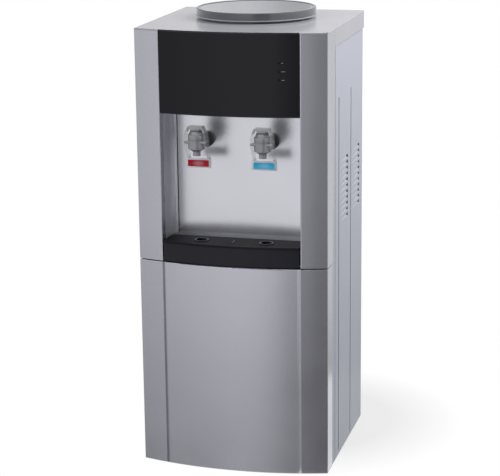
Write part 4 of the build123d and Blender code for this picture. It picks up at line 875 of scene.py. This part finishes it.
def seenPlainly(tree):
    # 1 for what the camera sees directly, mirrored or through clear plastic, and else 0
    paths = tree.nodes.new("ShaderNodeLightPath").outputs
    seen = mathOn(tree, "MAXIMUM", paths["Is Camera Ray"], paths["Is Glossy Ray"])
    return mathOn(tree, "MAXIMUM", seen, paths["Is Transmission Ray"])


def showMixed(tree, factor, first, second, output):
    mix = tree.nodes.new("ShaderNodeMixShader")
    feed(tree, mix.inputs, (factor, first, second))
    tree.links.new(mix.outputs["Shader"], tree.nodes[output].inputs["Surface"])


def toneRamp(tree, source, tones, span=1, reach=1):
    share = shareOf(tree, source, -reach, reach)
    return greySteps(tree, share, [((spot / span + 1) / 2, tone) for spot, tone in tones])


def buildFloor():
    radius = studio["floorRadius"]
    bpy.ops.object.select_all(action="DESELECT")
    bpy.ops.mesh.primitive_circle_add(vertices=studio["floorSides"], radius=radius, fill_type="NGON",
                                      location=(*studio["floorPlace"], -studio["floorClear"]))
    floor = bpy.context.object
    floor.name = "studioFloor"
    material, tree, shader = newMaterial("studioFloor")
    shader.inputs["Base Color"].default_value = (*grey(studio["floorGrey"]), 1)
    shader.inputs["Roughness"].default_value = studio["floorRoughness"]
    away = lengthOf(tree, objectCoords(tree))
    fadeFrom = radius * studio["whiteFrom"]
    fadeTo = radius * studio["whiteTo"]
    white = shareOf(tree, away, fadeFrom, fadeTo, studio["floorGlow"])
    amount = mathOn(tree, "MULTIPLY", seenPlainly(tree), white)
    glow = tree.nodes.new("ShaderNodeEmission")
    showMixed(tree, amount, shader.outputs["BSDF"], glow.outputs["Emission"], "Material Output")
    floor.data.materials.append(material)


def buildWorld():
    world = bpy.data.worlds.new("studioWorld")
    bpy.context.scene.world = world
    world.use_nodes = True
    tree = world.node_tree
    soft = tree.nodes["Background"]
    soft.inputs["Color"].default_value = studio["skyColour"]
    soft.inputs["Strength"].default_value = studio["skyStrength"]
    look = splitOf(tree, tree.nodes.new("ShaderNodeTexCoord").outputs["Generated"])
    around = mathOn(tree, "ARCTAN2", look["X"], mathOn(tree, "MULTIPLY", look["Y"], -1))
    span = studio["sweepSpan"]
    reach = math.radians(span)
    sweep = toneRamp(tree, around, studio["sweep"], span, reach)
    lowSweep = toneRamp(tree, around, studio["lowSweep"], span, reach)
    lowShare = toneRamp(tree, look["Z"], studio["lowShare"])
    tones = mixOn(tree, lowShare, sweep, lowSweep)
    tones = mixOn(tree, 1.0, tones, toneRamp(tree, look["Z"], studio["ground"]), "MULTIPLY")
    camera = tree.nodes.new("ShaderNodeLightPath").outputs["Is Camera Ray"]
    bright = tree.nodes.new("ShaderNodeBackground")  # the camera itself sees plain white
    tree.links.new(mixOn(tree, camera, tones, (1, 1, 1, 1)), bright.inputs["Color"])
    showMixed(tree, seenPlainly(tree), soft.outputs["Background"], bright.outputs["Background"],
              "World Output")


softBoxes = {
    "keyLeft": {"place": (-2.0, -2.3, 2.0), "aim": (0, 0, 0.45), "size": 1.8, "watts": 52},
    "topBank": {"place": (0.2, 0.1, 2.7), "aim": (0, 0, 0.4), "size": 1.6, "watts": 16},
    "sideRight": {"place": (1.35, 0.2, 1.75), "aim": (0.15, 0.05, 0.8), "size": 1.0, "watts": 31},
    "backFill": {"place": (-0.5, 2.8, 1.3), "aim": (0, 0.15, 0.45), "size": 1.6, "watts": 24},
}


def buildLights():
    for name, box in softBoxes.items():
        lamp = bpy.data.lights.new(name, "AREA")
        lamp.shape = "SQUARE"
        lamp.size = box["size"]
        lamp.energy = box["watts"]
        holder = bpy.data.objects.new(name, lamp)
        holder.visible_glossy = False  # only the studio itself mirrors in the part
        holder.location = box["place"]
        way = Vector(box["aim"]) - Vector(box["place"])
        holder.rotation_euler = way.to_track_quat("-Z", "Y").to_euler()
        bpy.context.scene.collection.objects.link(holder)


shot = {
    "place": (0.81787, -3.10288, 1.24472),
    "azimuth": 14.881,
    "elevation": 14.402,
    "roll": -0.648,
    "lens": 123.66,
    "sensor": 36,
}


def buildCamera():
    azimuth, elevation, roll = (math.radians(shot[key]) for key in ("azimuth", "elevation", "roll"))
    back = Vector((math.sin(azimuth) * math.cos(elevation), -math.cos(azimuth) * math.cos(elevation),
                   math.sin(elevation)))
    level = Vector((math.cos(azimuth), math.sin(azimuth), 0))
    rise = back.cross(level)
    right = math.cos(roll) * level + math.sin(roll) * rise
    up = -math.sin(roll) * level + math.cos(roll) * rise
    lens = bpy.data.cameras.new("photoCamera")
    lens.lens = shot["lens"]
    lens.sensor_fit = "HORIZONTAL"
    lens.sensor_width = shot["sensor"]
    camera = bpy.data.objects.new("photoCamera", lens)
    turn = Matrix((right, up, back)).transposed().to_4x4()
    camera.matrix_world = Matrix.Translation(shot["place"]) @ turn
    bpy.context.scene.collection.objects.link(camera)
    bpy.context.scene.camera = camera


buildFloor()
buildWorld()
buildLights()
buildCamera()
bpy.context.scene.view_settings.view_transform = "Standard"
print("studio ready")
